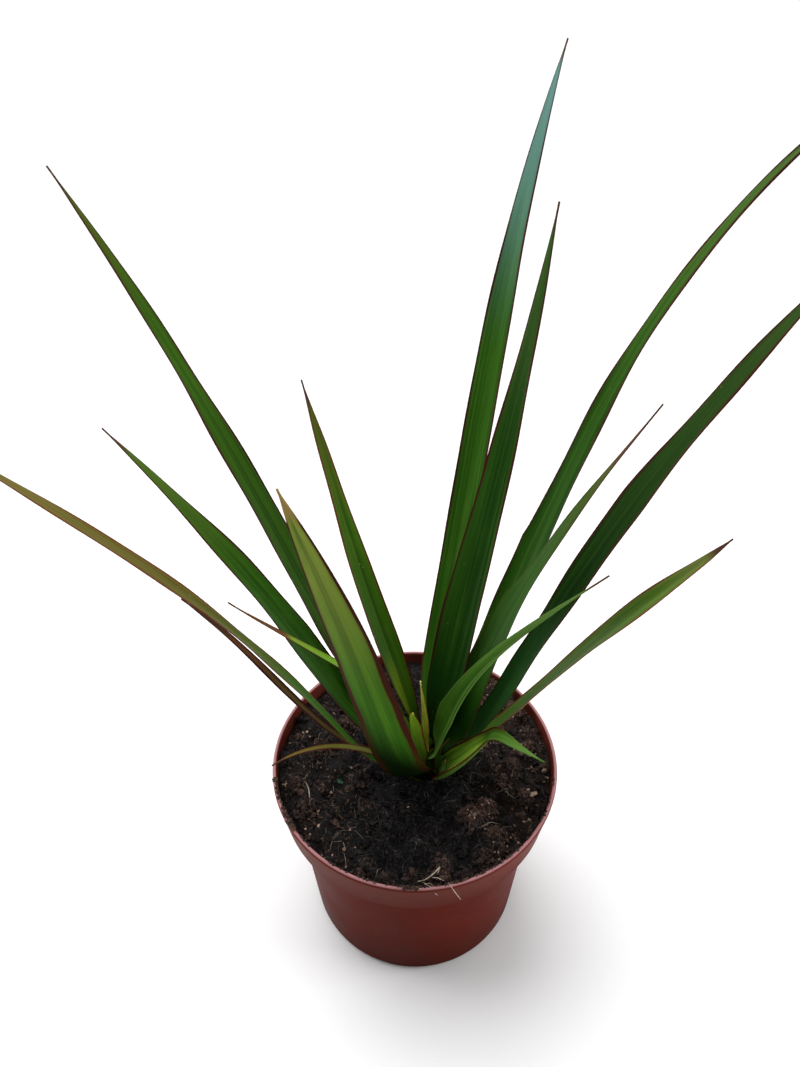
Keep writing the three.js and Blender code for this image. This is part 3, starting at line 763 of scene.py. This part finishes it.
def potPlastic():
    made, tree, shader = newMaterial("terracottaPlastic")
    paint, place = plasticPaint, objectPlace(tree)
    above = axesOf(place)[2]
    cloud = noiseAt(place, 28.0, 3.0, 0.55)
    cells = fill(addNode(tree, "ShaderNodeTexVoronoi"), {"Vector": place, "Scale": paint["speckScale"]})
    few = ramp(noiseAt(place, paint["speckNoise"], 2.0, 0.6), 0.65, 0.73)
    specks = times(ramp(cells["Distance"], 0.28, 0.16), few)
    shade = layered(
        tint(ramp(cloud, 0.3, 0.7), paint["dark"], paint["warm"]),
        # the paler grey collar is a painted sheen
        (ramp(above, *paint["collarReach"], 0.0, 0.35), paint["collar"]),
        # the pale pink lip is a painted highlight
        (ramp(above, *paint["lipHighlightReach"], 0.0, 0.9), paint["lipHighlight"]),
        (ramp(noiseAt(place, 90.0, 4.0, 0.65), 0.45, 0.75, 0.0, 0.2), paint["film"]),
        # darker towards the bottom: a painted shade
        (ramp(above, *paint["paintedShadeReach"], 0.0, 0.6), paint["low"]),
        (specks, paint["speck"]),
    )
    roughness = plus(ramp(cloud, 0.3, 0.7, 0.38, 0.46), times(specks, 0.3))
    height = plus(times(noiseAt(place, 1500.0), 0.35), times(specks, 0.6))
    finishSkin(shader, shade, roughness, 0.01, (height, 0.35, 0.00018))
    return made


pot = makePot()
pot.data.materials.append(potPlastic())
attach(pot, "root")
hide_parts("pot")
print("pot turned and cut")


# soil
soilSizes = dict(
    levelAtWall=87.5, highest=92.2, crown=1.2, frontRise=1.6, gap=0.3, holeRadius=10.8,
    holeFloor=82.5, rootRadius=4.6, rootFloor=55.5, calmRadius=16, calmShare=0.4,
    calmReach=7, calmLeast=0.25, underTop=86, blankTop=88, axisGap=0.5, turns=380, rings=120,
    smoothing=60,
    # height, turn per mm along X and Y, and start
    waves=((0.9, 0.21, 0.15, 1.3), (0.7, 0.43, -0.31, 2.1), (0.5, 0.37, 0.52, 2.3)),
    # size in mm, octaves and shift of the two layers of noise, and their heights
    coarse=(8.0, 3, 9.0), fine=(2.6, 4, 3.0), coarseRise=0.9, fineRise=0.55,
    noiseFall=0.9, noiseStep=2.1, clodCore=0.6, clodSteepness=1.5,
    # drier towards both sides: the side, the share and where it starts and ends
    drySides=((-1, 0.12, 18, 40), (1, 0.42, 20, 40)),
    # lumps lying in the soil: x, y, radius, rise, redness
    clods=(
        (42, 32, 11, 2.6, 1.0), (46, 24, 8, 2.2, 0.9), (38, 40, 8, 2.0, 0.8), (50, 5, 8, 2.4, 0.5),
        (41, -3, 7, 1.8, 0.4), (22, -28, 8, 3.0, 0.75), (30, -23, 7, 2.2, 0.6), (31, -39, 7, 2.0, 0.35),
        (9, -50, 7, 3.0, 0.25), (-2, -53, 6, 1.8, 0.1), (-28, 21, 6, 1.6, 0.7), (-40, 10, 7, 1.4, 0.3),
        (-44, -24, 8, 1.6, 0.35), (2, 50, 8, 1.6, 0.2), (-20, 44, 9, 1.4, 0.2), (-46, -8, 6, 1.3, 0.3),
    ),
)


def soilHeight(x, y):
    radius = np.hypot(x, y)
    height = soilSizes["levelAtWall"] + soilSizes["crown"] * (1 - (radius / potSizes["rimRadius"]) ** 2)
    height = height + soilSizes["frontRise"] * np.maximum(0, -y / potSizes["rimRadius"]) ** 2
    lumps = sum(rise * np.sin(x * alongX + y * alongY + start)
                for rise, alongX, alongY, start in soilSizes["waves"])
    return height + lumps * np.where(radius > soilSizes["calmRadius"], 1, soilSizes["calmShare"])


def clodAt(x, y):
    rise, red = np.zeros_like(x), np.zeros_like(x)
    for cx, cy, radius, height, redness in soilSizes["clods"]:
        away = ((x - cx) ** 2 + (y - cy) ** 2) / (radius * soilSizes["clodCore"]) ** 2
        near = np.exp(-away ** soilSizes["clodSteepness"])
        rise = rise + height * near
        red = np.maximum(red, redness * near)
    return rise, red


def unevenness(x, y, scale, octaves, shift):
    spots = [Vector((a / scale, b / scale, shift)) for a, b in zip(x, y)]
    fall, step = soilSizes["noiseFall"], soilSizes["noiseStep"]
    return np.array([noise.fractal(spot, fall, step, octaves) for spot in spots])


def surfaceHeight(x, y):
    # the lumpy top of the soil, in mm, with its clods and its fine crumb, calmer round the stem
    x, y = np.asarray(x, float), np.asarray(y, float)
    size = soilSizes
    rise, red = clodAt(x, y)
    fine, coarse = unevenness(x, y, *size["fine"]), unevenness(x, y, *size["coarse"])
    calm = smoothStep(fromAxis(x, y), size["holeRadius"], size["holeRadius"] + size["calmReach"])
    calm = calm * (1 - size["calmLeast"]) + size["calmLeast"]
    bumps = rise * (0.75 + 0.5 * coarse) + coarse * size["coarseRise"] + fine * size["fineRise"] * (1 + red)
    return np.minimum(soilHeight(x, y) + bumps * calm, size["highest"]), red


def makeSoil():
    size, gap = soilSizes, soilSizes["gap"]
    overLedge = collarFoot + potSizes["wall"] + gap
    floorHeight = potSizes["floor"] + gap
    outer = insideRadius(size["levelAtWall"]) - 2 * gap
    inward = [outer + (size["holeRadius"] - outer) * i / size["rings"] for i in range(size["rings"] + 1)]
    profile = [(radius, size["blankTop"]) for radius in inward] + [
        (size["holeRadius"], size["holeFloor"]), (size["rootRadius"], size["holeFloor"]),
        (size["rootRadius"], size["rootFloor"]), (size["axisGap"], size["rootFloor"]),
        (size["axisGap"], floorHeight),
        (insideRadius(floorHeight) - gap, floorHeight),
        (insideRadius(collarFoot) - gap, collarFoot), (insideRadius(collarFoot) - gap, overLedge),
        (potSizes["collarFootRadius"] - potSizes["wall"] - gap, overLedge),
    ]
    soil = turnProfile("pottingSoil", profile, size["turns"], True)
    spots = pointsOf(soil) / mm
    radius = np.hypot(spots[:, 0], spots[:, 1])
    low = spots[:, 2] < size["underTop"]
    # the hole stands round the stem's axis, and the wall stays in the middle of the pot
    share = np.clip((outer - radius) / (outer - size["holeRadius"]), 0, 1)
    share = np.where(low & (radius > size["holeRadius"] + 1), 0, share)
    spots[:, :2] += np.outer(share, crown["axis"])
    x, y = spots[~low, 0], spots[~low, 1]
    height, red = surfaceHeight(x, y)
    spots[~low, 2] = height
    setPoints(soil, spots * mm)
    tone = np.zeros(len(spots))
    dry = sum(part * smoothStep(side * x, start, end) for side, part, start, end in size["drySides"])
    tone[~low] = np.maximum(red, dry)
    setAttribute(soil, "tone", tone)
    fixSurface(soil)
    smoothByAngle(soil, size["smoothing"])
    return soil


def peat(name, dark, brown, red, paleAndHighlight, fibreShare):
    made, tree, shader = newMaterial(name)
    place, tone = objectPlace(tree), attributeOf(tree, "tone")
    grain = noiseAt(place, 650.0, 5.0, 0.7)
    # thin pale fibres where a warped noise crosses its middle value
    thread = ramp(awayFrom(noiseAt(place, 170.0, 1.0, 0.4, 1.6), 0.5), 0.012, 0.004)
    thread = times(thread, ramp(noiseAt(place, 300.0), 0.5, 0.62, 0.0, fibreShare))
    shade = layered(
        tint(ramp(grain, 0.42, 0.72), dark, brown),
        (ramp(noiseAt(place, 120.0, 3.0, 0.6), 0.5, 0.75, 0.0, 0.6), brown),
        (times(tone, ramp(grain, 0.35, 0.65, 0.25, 1.0)), red),
        # the highest tones take the pale colour: the driest crumbs, the bark chips, and the heaps' crumbs
        # painted paler as a painted highlight
        (ramp(tone, 0.9, 1.3, 0.0, 0.85), paleAndHighlight),    # the driest crumbs are the palest
        (thread, srgb(98, 92, 86)),
    )
    bump = (plus(grain, times(thread, 0.6)), 0.8, 0.0007)
    finishSkin(shader, shade, ramp(grain, 0.3, 0.7, 0.98, 0.8), 0.18, bump)
    return made


soil = makeSoil()
soilSkin = peat("darkPeat", srgb(7, 6, 7), srgb(27, 24, 25), srgb(58, 40, 33), srgb(120, 96, 80), 0.35)
soil.data.materials.append(soilSkin)
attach(soil, "root")
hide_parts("soil")
print("soil laid")


# what lies on the soil
litterSizes = dict(
    seed=11, crumbs=7000, crumbSize=(0.18, 0.8), lumps=420, lumpSize=(0.8, 1.9),
    fibres=1100, fibreLength=(1.0, 6.0), fibreRadius=(0.035, 0.075), fibreSteps=8,
    fibreCurl=0.05, fibreWander=0.07, fibreArch=0.7, fibreLift=0.12,
    wallRadius=56.8, unevenShape=0.28, smoothing=40, bareShare=0.35, cloddyShare=0.65,
    # crumbs: shape, how far their middle lies above the soil, and what makes them paler or darker
    crumbShape=(0.6, 1.25), crumbLift=0.15, dryTone=(0.15, 1.35), redTone=(0.4, 1.1), toneNoise=(-0.25, 0.08),
    # crumbs of the heaps: scatter as a share of the spread, least size and range in mm, shape and tone; the
    # tone rises towards each heap's top as a painted highlight
    heapScatter=0.5, dullSize=(0.35, 0.85), brightSize=(0.32, 0.25), brightShare=0.2,
    heapShape=(0.5, 1.3), heapTone=(0.1, 0.8), brightTone=(0.4, 0.9), topHighlightTone=0.3,
    # the listed roots: points, bow as a share of the length, waves in mm and how fast they turn, lift in mm
    rootPoints=13, rootBow=0.09, rootWave=(0.25, -0.2), rootTurn=7, rootLift=0.25,
    # dry patches: noise, its edge, and how far from their middle line they start and end
    dryNoise=(5, 3, 12.3), dryEdge=(-0.25, 0.3), dryMiddle=2, dryReach=(12, 30),
    # dirt on the rim: radii and sizes in mm, and the front arc in degrees that the dust lies on
    rimTop=92.9, rimMiddle=59.1, rimScatter=(-0.7, 0.3), rimSize=(0.25, 1.0), rimDust=700,
    dustArc=(-168, -12), dustRing=(58.2, 58.9), dustSize=(0.16, 0.5),
    # crumbs on the rim: x, y and number
    rimCrumbs=(
        (-50.2, -31.8, 44), (-52.6, -27.8, 16), (-56.2, -19.4, 10), (-3.6, -59.3, 12), (-58, -12, 8),
    ),
    # crumbly heaps: x, y, spread, height, number of crumbs, redness
    heaps=(
        (22, -28, 4.5, 2.2, 260, 0.95), (29, -24, 4, 1.6, 190, 0.9), (31, -36, 4, 1.4, 150, 0.7),
        (42, 33, 4.5, 2.0, 200, 1.05), (46, 25, 4, 1.8, 170, 1.0), (38, 42, 4, 1.6, 140, 0.9),
        (50, 5, 3.5, 1.8, 120, 0.7), (41, -3, 3.5, 1.4, 110, 0.6), (9, -51, 4, 2.6, 240, 0.55),
        (-28, 21, 4, 1.4, 120, 0.85), (-44, -22, 4, 1.2, 110, 0.5), (-2, -52, 3, 1.4, 80, 0.4),
        (44, -20, 5, 1.2, 170, 0.6), (36, -11, 4, 1.2, 120, 0.6), (50, 14, 4, 1.2, 110, 0.7),
        (-50, -12, 4, 1.2, 110, 0.55), (-42, 5, 4, 1.0, 110, 0.5), (26, -46, 4, 1.0, 90, 0.45),
        (10, -54, 2.6, 3.6, 170, 0.6), (4, -56, 2.4, 2.6, 90, 0.35), (-13, -54, 3, 2.2, 80, 0.3),
        (19, -53, 3, 1.8, 80, 0.3), (-22, -51, 3, 1.8, 70, 0.3),
    ),
    # threads listed one by one: their ends x, y, the radius, the lift above the soil at the middle and the
    # tone
    roots=(
        ((-47, -8), (-42.3, -25.2), 0.2, 0.9, 0.85), ((-45.6, -4), (-46.6, -12), 0.1, 0.5, 0.6),
        ((35.3, -12.4), (42.4, -21.9), 0.1, 0.8, 0.6), ((33, -16), (40, -14), 0.08, 0.7, 0.5),
        ((-32, -38.5), (-27.9, -41.5), 0.1, 0.6, 0.6), ((-31, -33), (-34, -42), 0.08, 0.7, 0.5),
        ((-16.1, -52.3), (-13.9, -47.5), 0.1, 0.4, 0.6), ((24, -33), (33, -30), 0.09, 1.6, 0.7),
    ),
    # pale roots and straw at the front rim: the radius, the tone and the points x, y, z
    strands=(
        (0.2, 1.0, (0, -56.6, 93.4), (2.7, -55.9, 93.2), (5, -54.5, 93.6), (6.9, -53, 94), (7.9, -51.8, 94),
         (8.9, -49.4, 93)),
        (0.17, 0.85, (5.3, -55, 93.2), (7.3, -55.6, 94), (9.7, -56.8, 94)),
        (0.13, 0.8, (2.2, -57.3, 93.2), (3.7, -58.3, 93.6), (5.5, -59.2, 93.3)),
        (0.15, 0.75, (7.4, -53.7, 93.6), (8.5, -51.3, 94)),
        (0.09, 0.7, (1.6, -56.6, 93.1), (3, -57.4, 93.2), (4.6, -57.2, 93.2), (5.6, -58.6, 93.4)),
        (0.15, 0.85, (11.2, -57.4, 93.9), (13.3, -60.6, 93.35), (15.5, -63.7, 93.1)),
        (0.12, 0.8, (6, -60.9, 93), (7.2, -61.6, 92.6)),
    ),
    # x, y, length, breadth and thickness
    chips=(
        (48.3, -17.4, 1.9, 1.0, 0.5), (47, -19, 1.2, 0.6, 0.4), (46.4, -15.4, 0.8, 0.4, 0.3),
        (-3.1, -23, 0.4, 0.35, 0.3),
    ),
    fleck=(-31, -8.9, 9),    # x, y and number of grains
)
dice = np.random.default_rng(litterSizes["seed"])


def drynessAt(x, y):
    # both sides of the soil have dried in patches, the front and the middle are moist
    patches = smoothStep(unevenness(x, y, *litterSizes["dryNoise"]), *litterSizes["dryEdge"])
    return patches * smoothStep(np.abs(np.asarray(x) - litterSizes["dryMiddle"]), *litterSizes["dryReach"])


def scatterSpots(count, reachIn):
    # even over the soil, with more where clods lie
    spots = []
    while len(spots) < count:
        angle = dice.uniform(0, 2 * math.pi)
        radius = math.sqrt(dice.uniform(0, 1)) * litterSizes["wallRadius"]
        x, y = radius * math.cos(angle), radius * math.sin(angle)
        red = clodAt(np.array([x]), np.array([y]))[1][0]
        share = litterSizes["bareShare"] + litterSizes["cloddyShare"] * red
        if fromAxis(x, y) > reachIn and dice.uniform(0, 1) < share:
            spots.append((x, y))
    return np.array(spots)


def newPiece(name, points, faces, tones):
    # a mesh from points in mm, with the tone that the soil's finishes read
    mesh = bpy.data.meshes.new(name)
    mesh.from_pydata((np.asarray(points) * mm).tolist(), [], faces)
    piece = bpy.data.objects.new(name, mesh)
    scene.collection.objects.link(piece)
    setAttribute(piece, "tone", tones)
    return piece


def stampMesh(name, detail, places, turns, sizes, tones):
    # many turned, scaled and uneven copies of one small ball in a single mesh
    clearSelection()
    bpy.ops.mesh.primitive_ico_sphere_add(subdivisions=detail, radius=1)
    ball = bpy.context.object
    shape, count = pointsOf(ball), len(places)
    faces = np.array([list(face.vertices) for face in ball.data.polygons])
    bent = shape[None] * (1 + litterSizes["unevenShape"] * dice.standard_normal((count, len(shape), 1)))
    bent = np.einsum("nij,npj->npi", turns, bent * sizes[:, None, :]) + places[:, None, :]
    allFaces = (faces[None] + (np.arange(count) * len(shape))[:, None, None]).reshape(-1, faces.shape[1])
    bpy.data.objects.remove(ball, do_unlink=True)
    return newPiece(name, bent.reshape(-1, 3), allFaces.tolist(), np.repeat(tones, len(shape)))


def randomTurns(count):
    # three angles are drawn for each copy: the first and the last turn it, the middle one isn't used
    angles = dice.uniform(0, 2 * math.pi, (count, 3)).T
    (cosX, _, cosZ), (sinX, _, sinZ) = np.cos(angles), np.sin(angles)
    zero, one = np.zeros(count), np.ones(count)
    aboutX = np.stack([one, zero, zero, zero, cosX, -sinX, zero, sinX, cosX], 1).reshape(-1, 3, 3)
    aboutZ = np.stack([cosZ, -sinZ, zero, sinZ, cosZ, zero, zero, zero, one], 1).reshape(-1, 3, 3)
    return np.einsum("nij,njk->nik", aboutZ, aboutX)


def heapCrumbs():
    # clods built up of many crumbs, painted palest on top as a painted highlight; the bright crumbs are
    # partly pale grains and partly painted highlights
    plan, spots, sizes, tones = litterSizes, [], [], []
    for cx, cy, spread, rise, count, red in plan["heaps"]:
        offsets = dice.normal(0, spread * plan["heapScatter"], (count, 2))
        x, y = cx + offsets[:, 0], cy + offsets[:, 1]
        inside = np.minimum(1, plan["wallRadius"] / np.hypot(x, y))
        x, y = x * inside, y * inside
        near = np.exp(-(offsets ** 2).sum(1) / spread ** 2)
        level = dice.uniform(0, 1, count)
        spots.append(np.column_stack([x, y, surfaceHeight(x, y)[0] + rise * near * level]))
        (leastDull, dullRange), (leastBright, brightRange) = plan["dullSize"], plan["brightSize"]
        base = leastDull + dullRange * dice.uniform(0, 1, count) ** 2.2
        bright = dice.uniform(0, 1, count) < plan["brightShare"]
        base = np.where(bright, leastBright + brightRange * dice.uniform(0, 1, count), base)
        sizes.append(base[:, None] * dice.uniform(*plan["heapShape"], (count, 3)))
        paleAndHighlight = dice.uniform(*plan["heapTone"], count) + plan["topHighlightTone"] * level * near
        tones.append(red * (paleAndHighlight + bright * dice.uniform(*plan["brightTone"], count)))
    spots = np.vstack(spots)
    return stampMesh("clodCrumbs", 1, spots, randomTurns(len(spots)), np.vstack(sizes), np.concatenate(tones))


def scatterCrumbs(name, count, sizeRange, detail, palest):
    spots = scatterSpots(count, soilSizes["holeRadius"] + 0.6)
    height, red = surfaceHeight(spots[:, 0], spots[:, 1])
    base = sizeRange[0] + (sizeRange[1] - sizeRange[0]) * dice.uniform(0, 1, count) ** 2
    sizes = base[:, None] * dice.uniform(*litterSizes["crumbShape"], (count, 3))
    places = np.column_stack([spots, height + base * litterSizes["crumbLift"]])
    dry = drynessAt(spots[:, 0], spots[:, 1]) * dice.uniform(*litterSizes["dryTone"], count) ** 1.4
    tones = red * dice.uniform(*litterSizes["redTone"], count) + dry
    tones = np.clip(tones + dice.uniform(*litterSizes["toneNoise"], count), 0, palest)
    return stampMesh(name, detail, places, randomTurns(count), sizes, tones)


def rimDirt():
    spots, sizes = [], []

    def drop(angle, radius, size, lift):
        height = litterSizes["rimTop"] + size * lift
        spots.append((radius * math.cos(angle), radius * math.sin(angle), height))
        sizes.append(size * dice.uniform(0.7, 1.2, 3))

    for x, y, count in litterSizes["rimCrumbs"]:
        for _ in range(count):
            angle = math.atan2(y, x) + dice.normal(0, 0.03)
            radius = litterSizes["rimMiddle"] + dice.uniform(*litterSizes["rimScatter"])
            drop(angle, radius, dice.uniform(*litterSizes["rimSize"]), 0.4)
    # dust along the inner edge of the front rim, in loose groups
    for angle in np.radians(dice.uniform(*litterSizes["dustArc"], litterSizes["rimDust"])):
        if noise.noise(Vector((angle * 9, 1.7, 0))) > dice.uniform(-0.35, 0.35):
            drop(angle, dice.uniform(*litterSizes["dustRing"]), dice.uniform(*litterSizes["dustSize"]), 0.3)
    count = len(spots)
    turns = randomTurns(count)
    return stampMesh("rimCrumbs", 1, np.array(spots), turns, np.array(sizes), dice.uniform(0.2, 0.8, count))


def threadMesh(name, threads, sides=4):
    # round threads along given lines of points, thinner at both ends
    points, faces, tones = [], [], []
    for line, radius, tone in threads:
        ahead = np.gradient(line, axis=0)
        ahead /= np.linalg.norm(ahead, axis=1)[:, None] + 1e-9
        sideways = np.cross(ahead, (0.02, 0.03, 1.0))
        sideways /= np.linalg.norm(sideways, axis=1)[:, None] + 1e-9
        upward = np.cross(sideways, ahead)
        start, count = len(points), len(line)
        for i in range(count):
            thick = radius * (0.35 + 0.65 * math.sin(math.pi * (i + 0.4) / (count - 0.2)))
            for k in range(sides):
                turn = 2 * math.pi * k / sides
                points.append(line[i] + thick * (math.cos(turn) * sideways[i] + math.sin(turn) * upward[i]))
        tones += [tone] * (count * sides)
        for i in range(count - 1):
            for k in range(sides):
                a, b = start + i * sides + k, start + i * sides + (k + 1) % sides
                faces.append((a, b, b + sides, a + sides))
        faces.append(tuple(start + k for k in reversed(range(sides))))
        faces.append(tuple(start + (count - 1) * sides + k for k in range(sides)))
    piece = newPiece(name, points, faces, tones)
    fixSurface(piece, 1e-8)
    return piece


def groundUnder(path, weights):
    # the soil's height along a path, smoothed
    height = surfaceHeight(path[:, 0], path[:, 1])[0]
    return np.convolve(np.pad(height, len(weights) // 2, mode="edge"), weights, "valid")


def looseFibres():
    # thin curled fibres, each a line of points with its radius and its tone
    threads, steps = [], litterSizes["fibreSteps"]
    for x, y in scatterSpots(litterSizes["fibres"], soilSizes["holeRadius"] + 2):
        length = dice.uniform(*litterSizes["fibreLength"])
        heading, curl = dice.uniform(0, 2 * math.pi), dice.normal(0, litterSizes["fibreCurl"])
        path = [(x, y)]
        for _ in range(steps):
            heading += curl + dice.normal(0, litterSizes["fibreWander"])
            px, py = path[-1]
            path.append((px + math.cos(heading) * length / steps, py + math.sin(heading) * length / steps))
        path = np.array(path)
        overWall = np.hypot(path[:, 0], path[:, 1]).max() > litterSizes["wallRadius"]
        if overWall or fromAxis(path[:, 0], path[:, 1]).min() < soilSizes["holeRadius"] + 0.5:
            continue
        arch = np.sin(np.linspace(0, math.pi, steps + 1)) * dice.uniform(0, litterSizes["fibreArch"])
        height = groundUnder(path, (0.25, 0.5, 0.25)) + litterSizes["fibreLift"] + arch
        line = np.column_stack([path, height])
        radius = dice.uniform(*litterSizes["fibreRadius"])
        threads.append((line, radius, dice.uniform(0, 1) ** 1.6 * (0.25 + 0.55 * drynessAt([x], [y])[0])))
    return threads


def laidThreads():
    # the listed roots and strands
    plan, threads = litterSizes, []
    for first, last, radius, lift, tone in plan["roots"]:
        share = np.linspace(0, 1, plan["rootPoints"])
        path = np.outer(1 - share, first) + np.outer(share, last)
        bow = dice.normal(0, plan["rootBow"]) * math.dist(first, last)
        path = path + np.outer(np.sin(share * math.pi), (bow, bow))
        path = path + np.outer(np.sin(share * plan["rootTurn"]), plan["rootWave"])
        ground = groundUnder(path, (0.1, 0.2, 0.4, 0.2, 0.1))
        height = ground + plan["rootLift"] + lift * np.sin(share * math.pi)
        threads.append((np.column_stack([path, height]), radius, tone))
    for radius, tone, *points in plan["strands"]:
        knots = np.array(points, float)
        share = np.linspace(0, len(knots) - 1, 5 * len(knots))
        line = np.column_stack([np.interp(share, range(len(knots)), column) for column in knots.T])
        threads.append((line, radius, tone))
    return threads


def barkChips():
    # flat pale chips of bark, and one small pale grain
    spots, sizes = [], []
    for x, y, *size in litterSizes["chips"]:
        spots.append((x, y, surfaceHeight([x], [y])[0][0] + size[2] + 0.5))
        sizes.append(size)
    lean = dice.normal(0, 0.25, (len(spots), 2))
    turns = np.array([[(1, 0, a), (0.3, 1, b), (-a, -b, 1)] for a, b in lean])
    return stampMesh("barkChips", 2, np.array(spots), turns, np.array(sizes), np.full(len(spots), 1.3))


def mossFleck():
    x, y, count = litterSizes["fleck"]
    spots = np.array([x, y]) + dice.normal(0, 0.7, (count, 2))
    spots = np.column_stack([spots, surfaceHeight(spots[:, 0], spots[:, 1])[0] + 0.5])
    sizes = dice.uniform(0.3, 0.7, (count, 3))
    return stampMesh("mossFleck", 1, spots, randomTurns(count), sizes, np.zeros(count))


def fibreSkin():
    made, tree, shader = newMaterial("paleFibre")
    blotch = ramp(noiseAt(objectPlace(tree), 500.0), 0.35, 0.65, 0.0, 0.5)
    shade = tint(attributeOf(tree, "tone"), srgb(54, 52, 53), srgb(204, 188, 166))
    shade = tint(blotch, shade, srgb(60, 46, 38))
    finishSkin(shader, shade, ramp(blotch, 0.0, 0.5, 0.7, 0.9))
    return made


def mossSkin():
    made, tree, shader = newMaterial("greenMoss")
    mottle = noiseAt(objectPlace(tree), 900.0, 3.0, 0.6)
    shade = tint(ramp(mottle, 0.4, 0.6), srgb(24, 56, 40), srgb(56, 104, 78))
    finishSkin(shader, shade, ramp(mottle, 0.3, 0.7, 0.9, 0.75), bump=(mottle, 0.5, 0.0003))
    return made


# the crumbs' pale colour is partly their own and partly a painted highlight on the heaps
crumbSkin = peat("crumbPeat", srgb(8, 7, 8), srgb(46, 41, 41), srgb(112, 84, 70), srgb(176, 150, 130), 0.2)
litter = [
    scatterCrumbs("soilCrumbs", litterSizes["crumbs"], litterSizes["crumbSize"], detail=1, palest=1.3),
    scatterCrumbs("soilLumps", litterSizes["lumps"], litterSizes["lumpSize"], detail=2, palest=0.45),
    heapCrumbs(),
    barkChips(),
    rimDirt(),
]
for piece in litter:
    piece.data.materials.append(crumbSkin)
fibres = threadMesh("rootFibres", looseFibres() + laidThreads())
fibres.data.materials.append(fibreSkin())
fleck = mossFleck()
fleck.data.materials.append(mossSkin())
litter += [fibres, fleck]
for piece in litter:
    smoothByAngle(piece, litterSizes["smoothing"])
    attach(piece, "root")
print("litter scattered")


# stem: stepped under the sheaths, brown below and dark green in the crown
stemSizes = dict(
    footRadius=2.1, rootRadius=4.2, rootTaper=6, ringTaper=0.1, topRise=2, turns=64, smoothing=40,
    softening=0.3, greenReach=(0.0872, 0.0886),   # the reach in metres
)


def makeStem():
    size = stemSizes
    bottom, crownFloor = [soilSizes[key] + soilSizes["gap"] for key in ("rootFloor", "holeFloor")]
    profile = [
        (0, bottom), (size["footRadius"], bottom), (size["rootRadius"], bottom + size["rootTaper"]),
        (size["rootRadius"], crownFloor),
    ]
    for ring in range(crown["outerRing"], -1, -1):
        radius = sheathRadius(ring) - crown["thickness"] / 2 - crown["gap"]
        low = crownFloor if ring == crown["outerRing"] else sheathBase(ring) - crown["gap"]
        profile += [(radius, low), (radius - size["ringTaper"], sheathBase(ring - 1) - crown["gap"])]
    profile.append((0, sheathBase(-1) + size["topRise"]))
    stem = turnProfile("stemCore", profile, size["turns"], False)
    softenEdges(stem, size["softening"], segments=2, degrees=25)
    spots = pointsOf(stem)
    spots[:, :2] += np.array(crown["axis"]) * mm
    setPoints(stem, spots)
    smoothByAngle(stem, size["smoothing"])
    return stem


def stemSkin():
    made, tree, shader = newMaterial("ringedStem")
    place = objectPlace(tree)
    mottle = noiseAt(place, 420.0, 4.0, 0.6)
    blend = ramp(mottle, 0.35, 0.65)
    brown = tint(blend, srgb(40, 30, 20), srgb(74, 58, 36))
    green = tint(blend, srgb(30, 46, 12), srgb(58, 80, 24))
    shade = tint(ramp(axesOf(place)[2], *stemSizes["greenReach"]), brown, green)
    finishSkin(shader, shade, ramp(mottle, 0.3, 0.7, 0.85, 0.6), 0.05, (mottle, 0.5, 0.0004))
    return made


stem = makeStem()
stem.data.materials.append(stemSkin())
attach(stem, "root")
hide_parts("stem")
print("stem made")
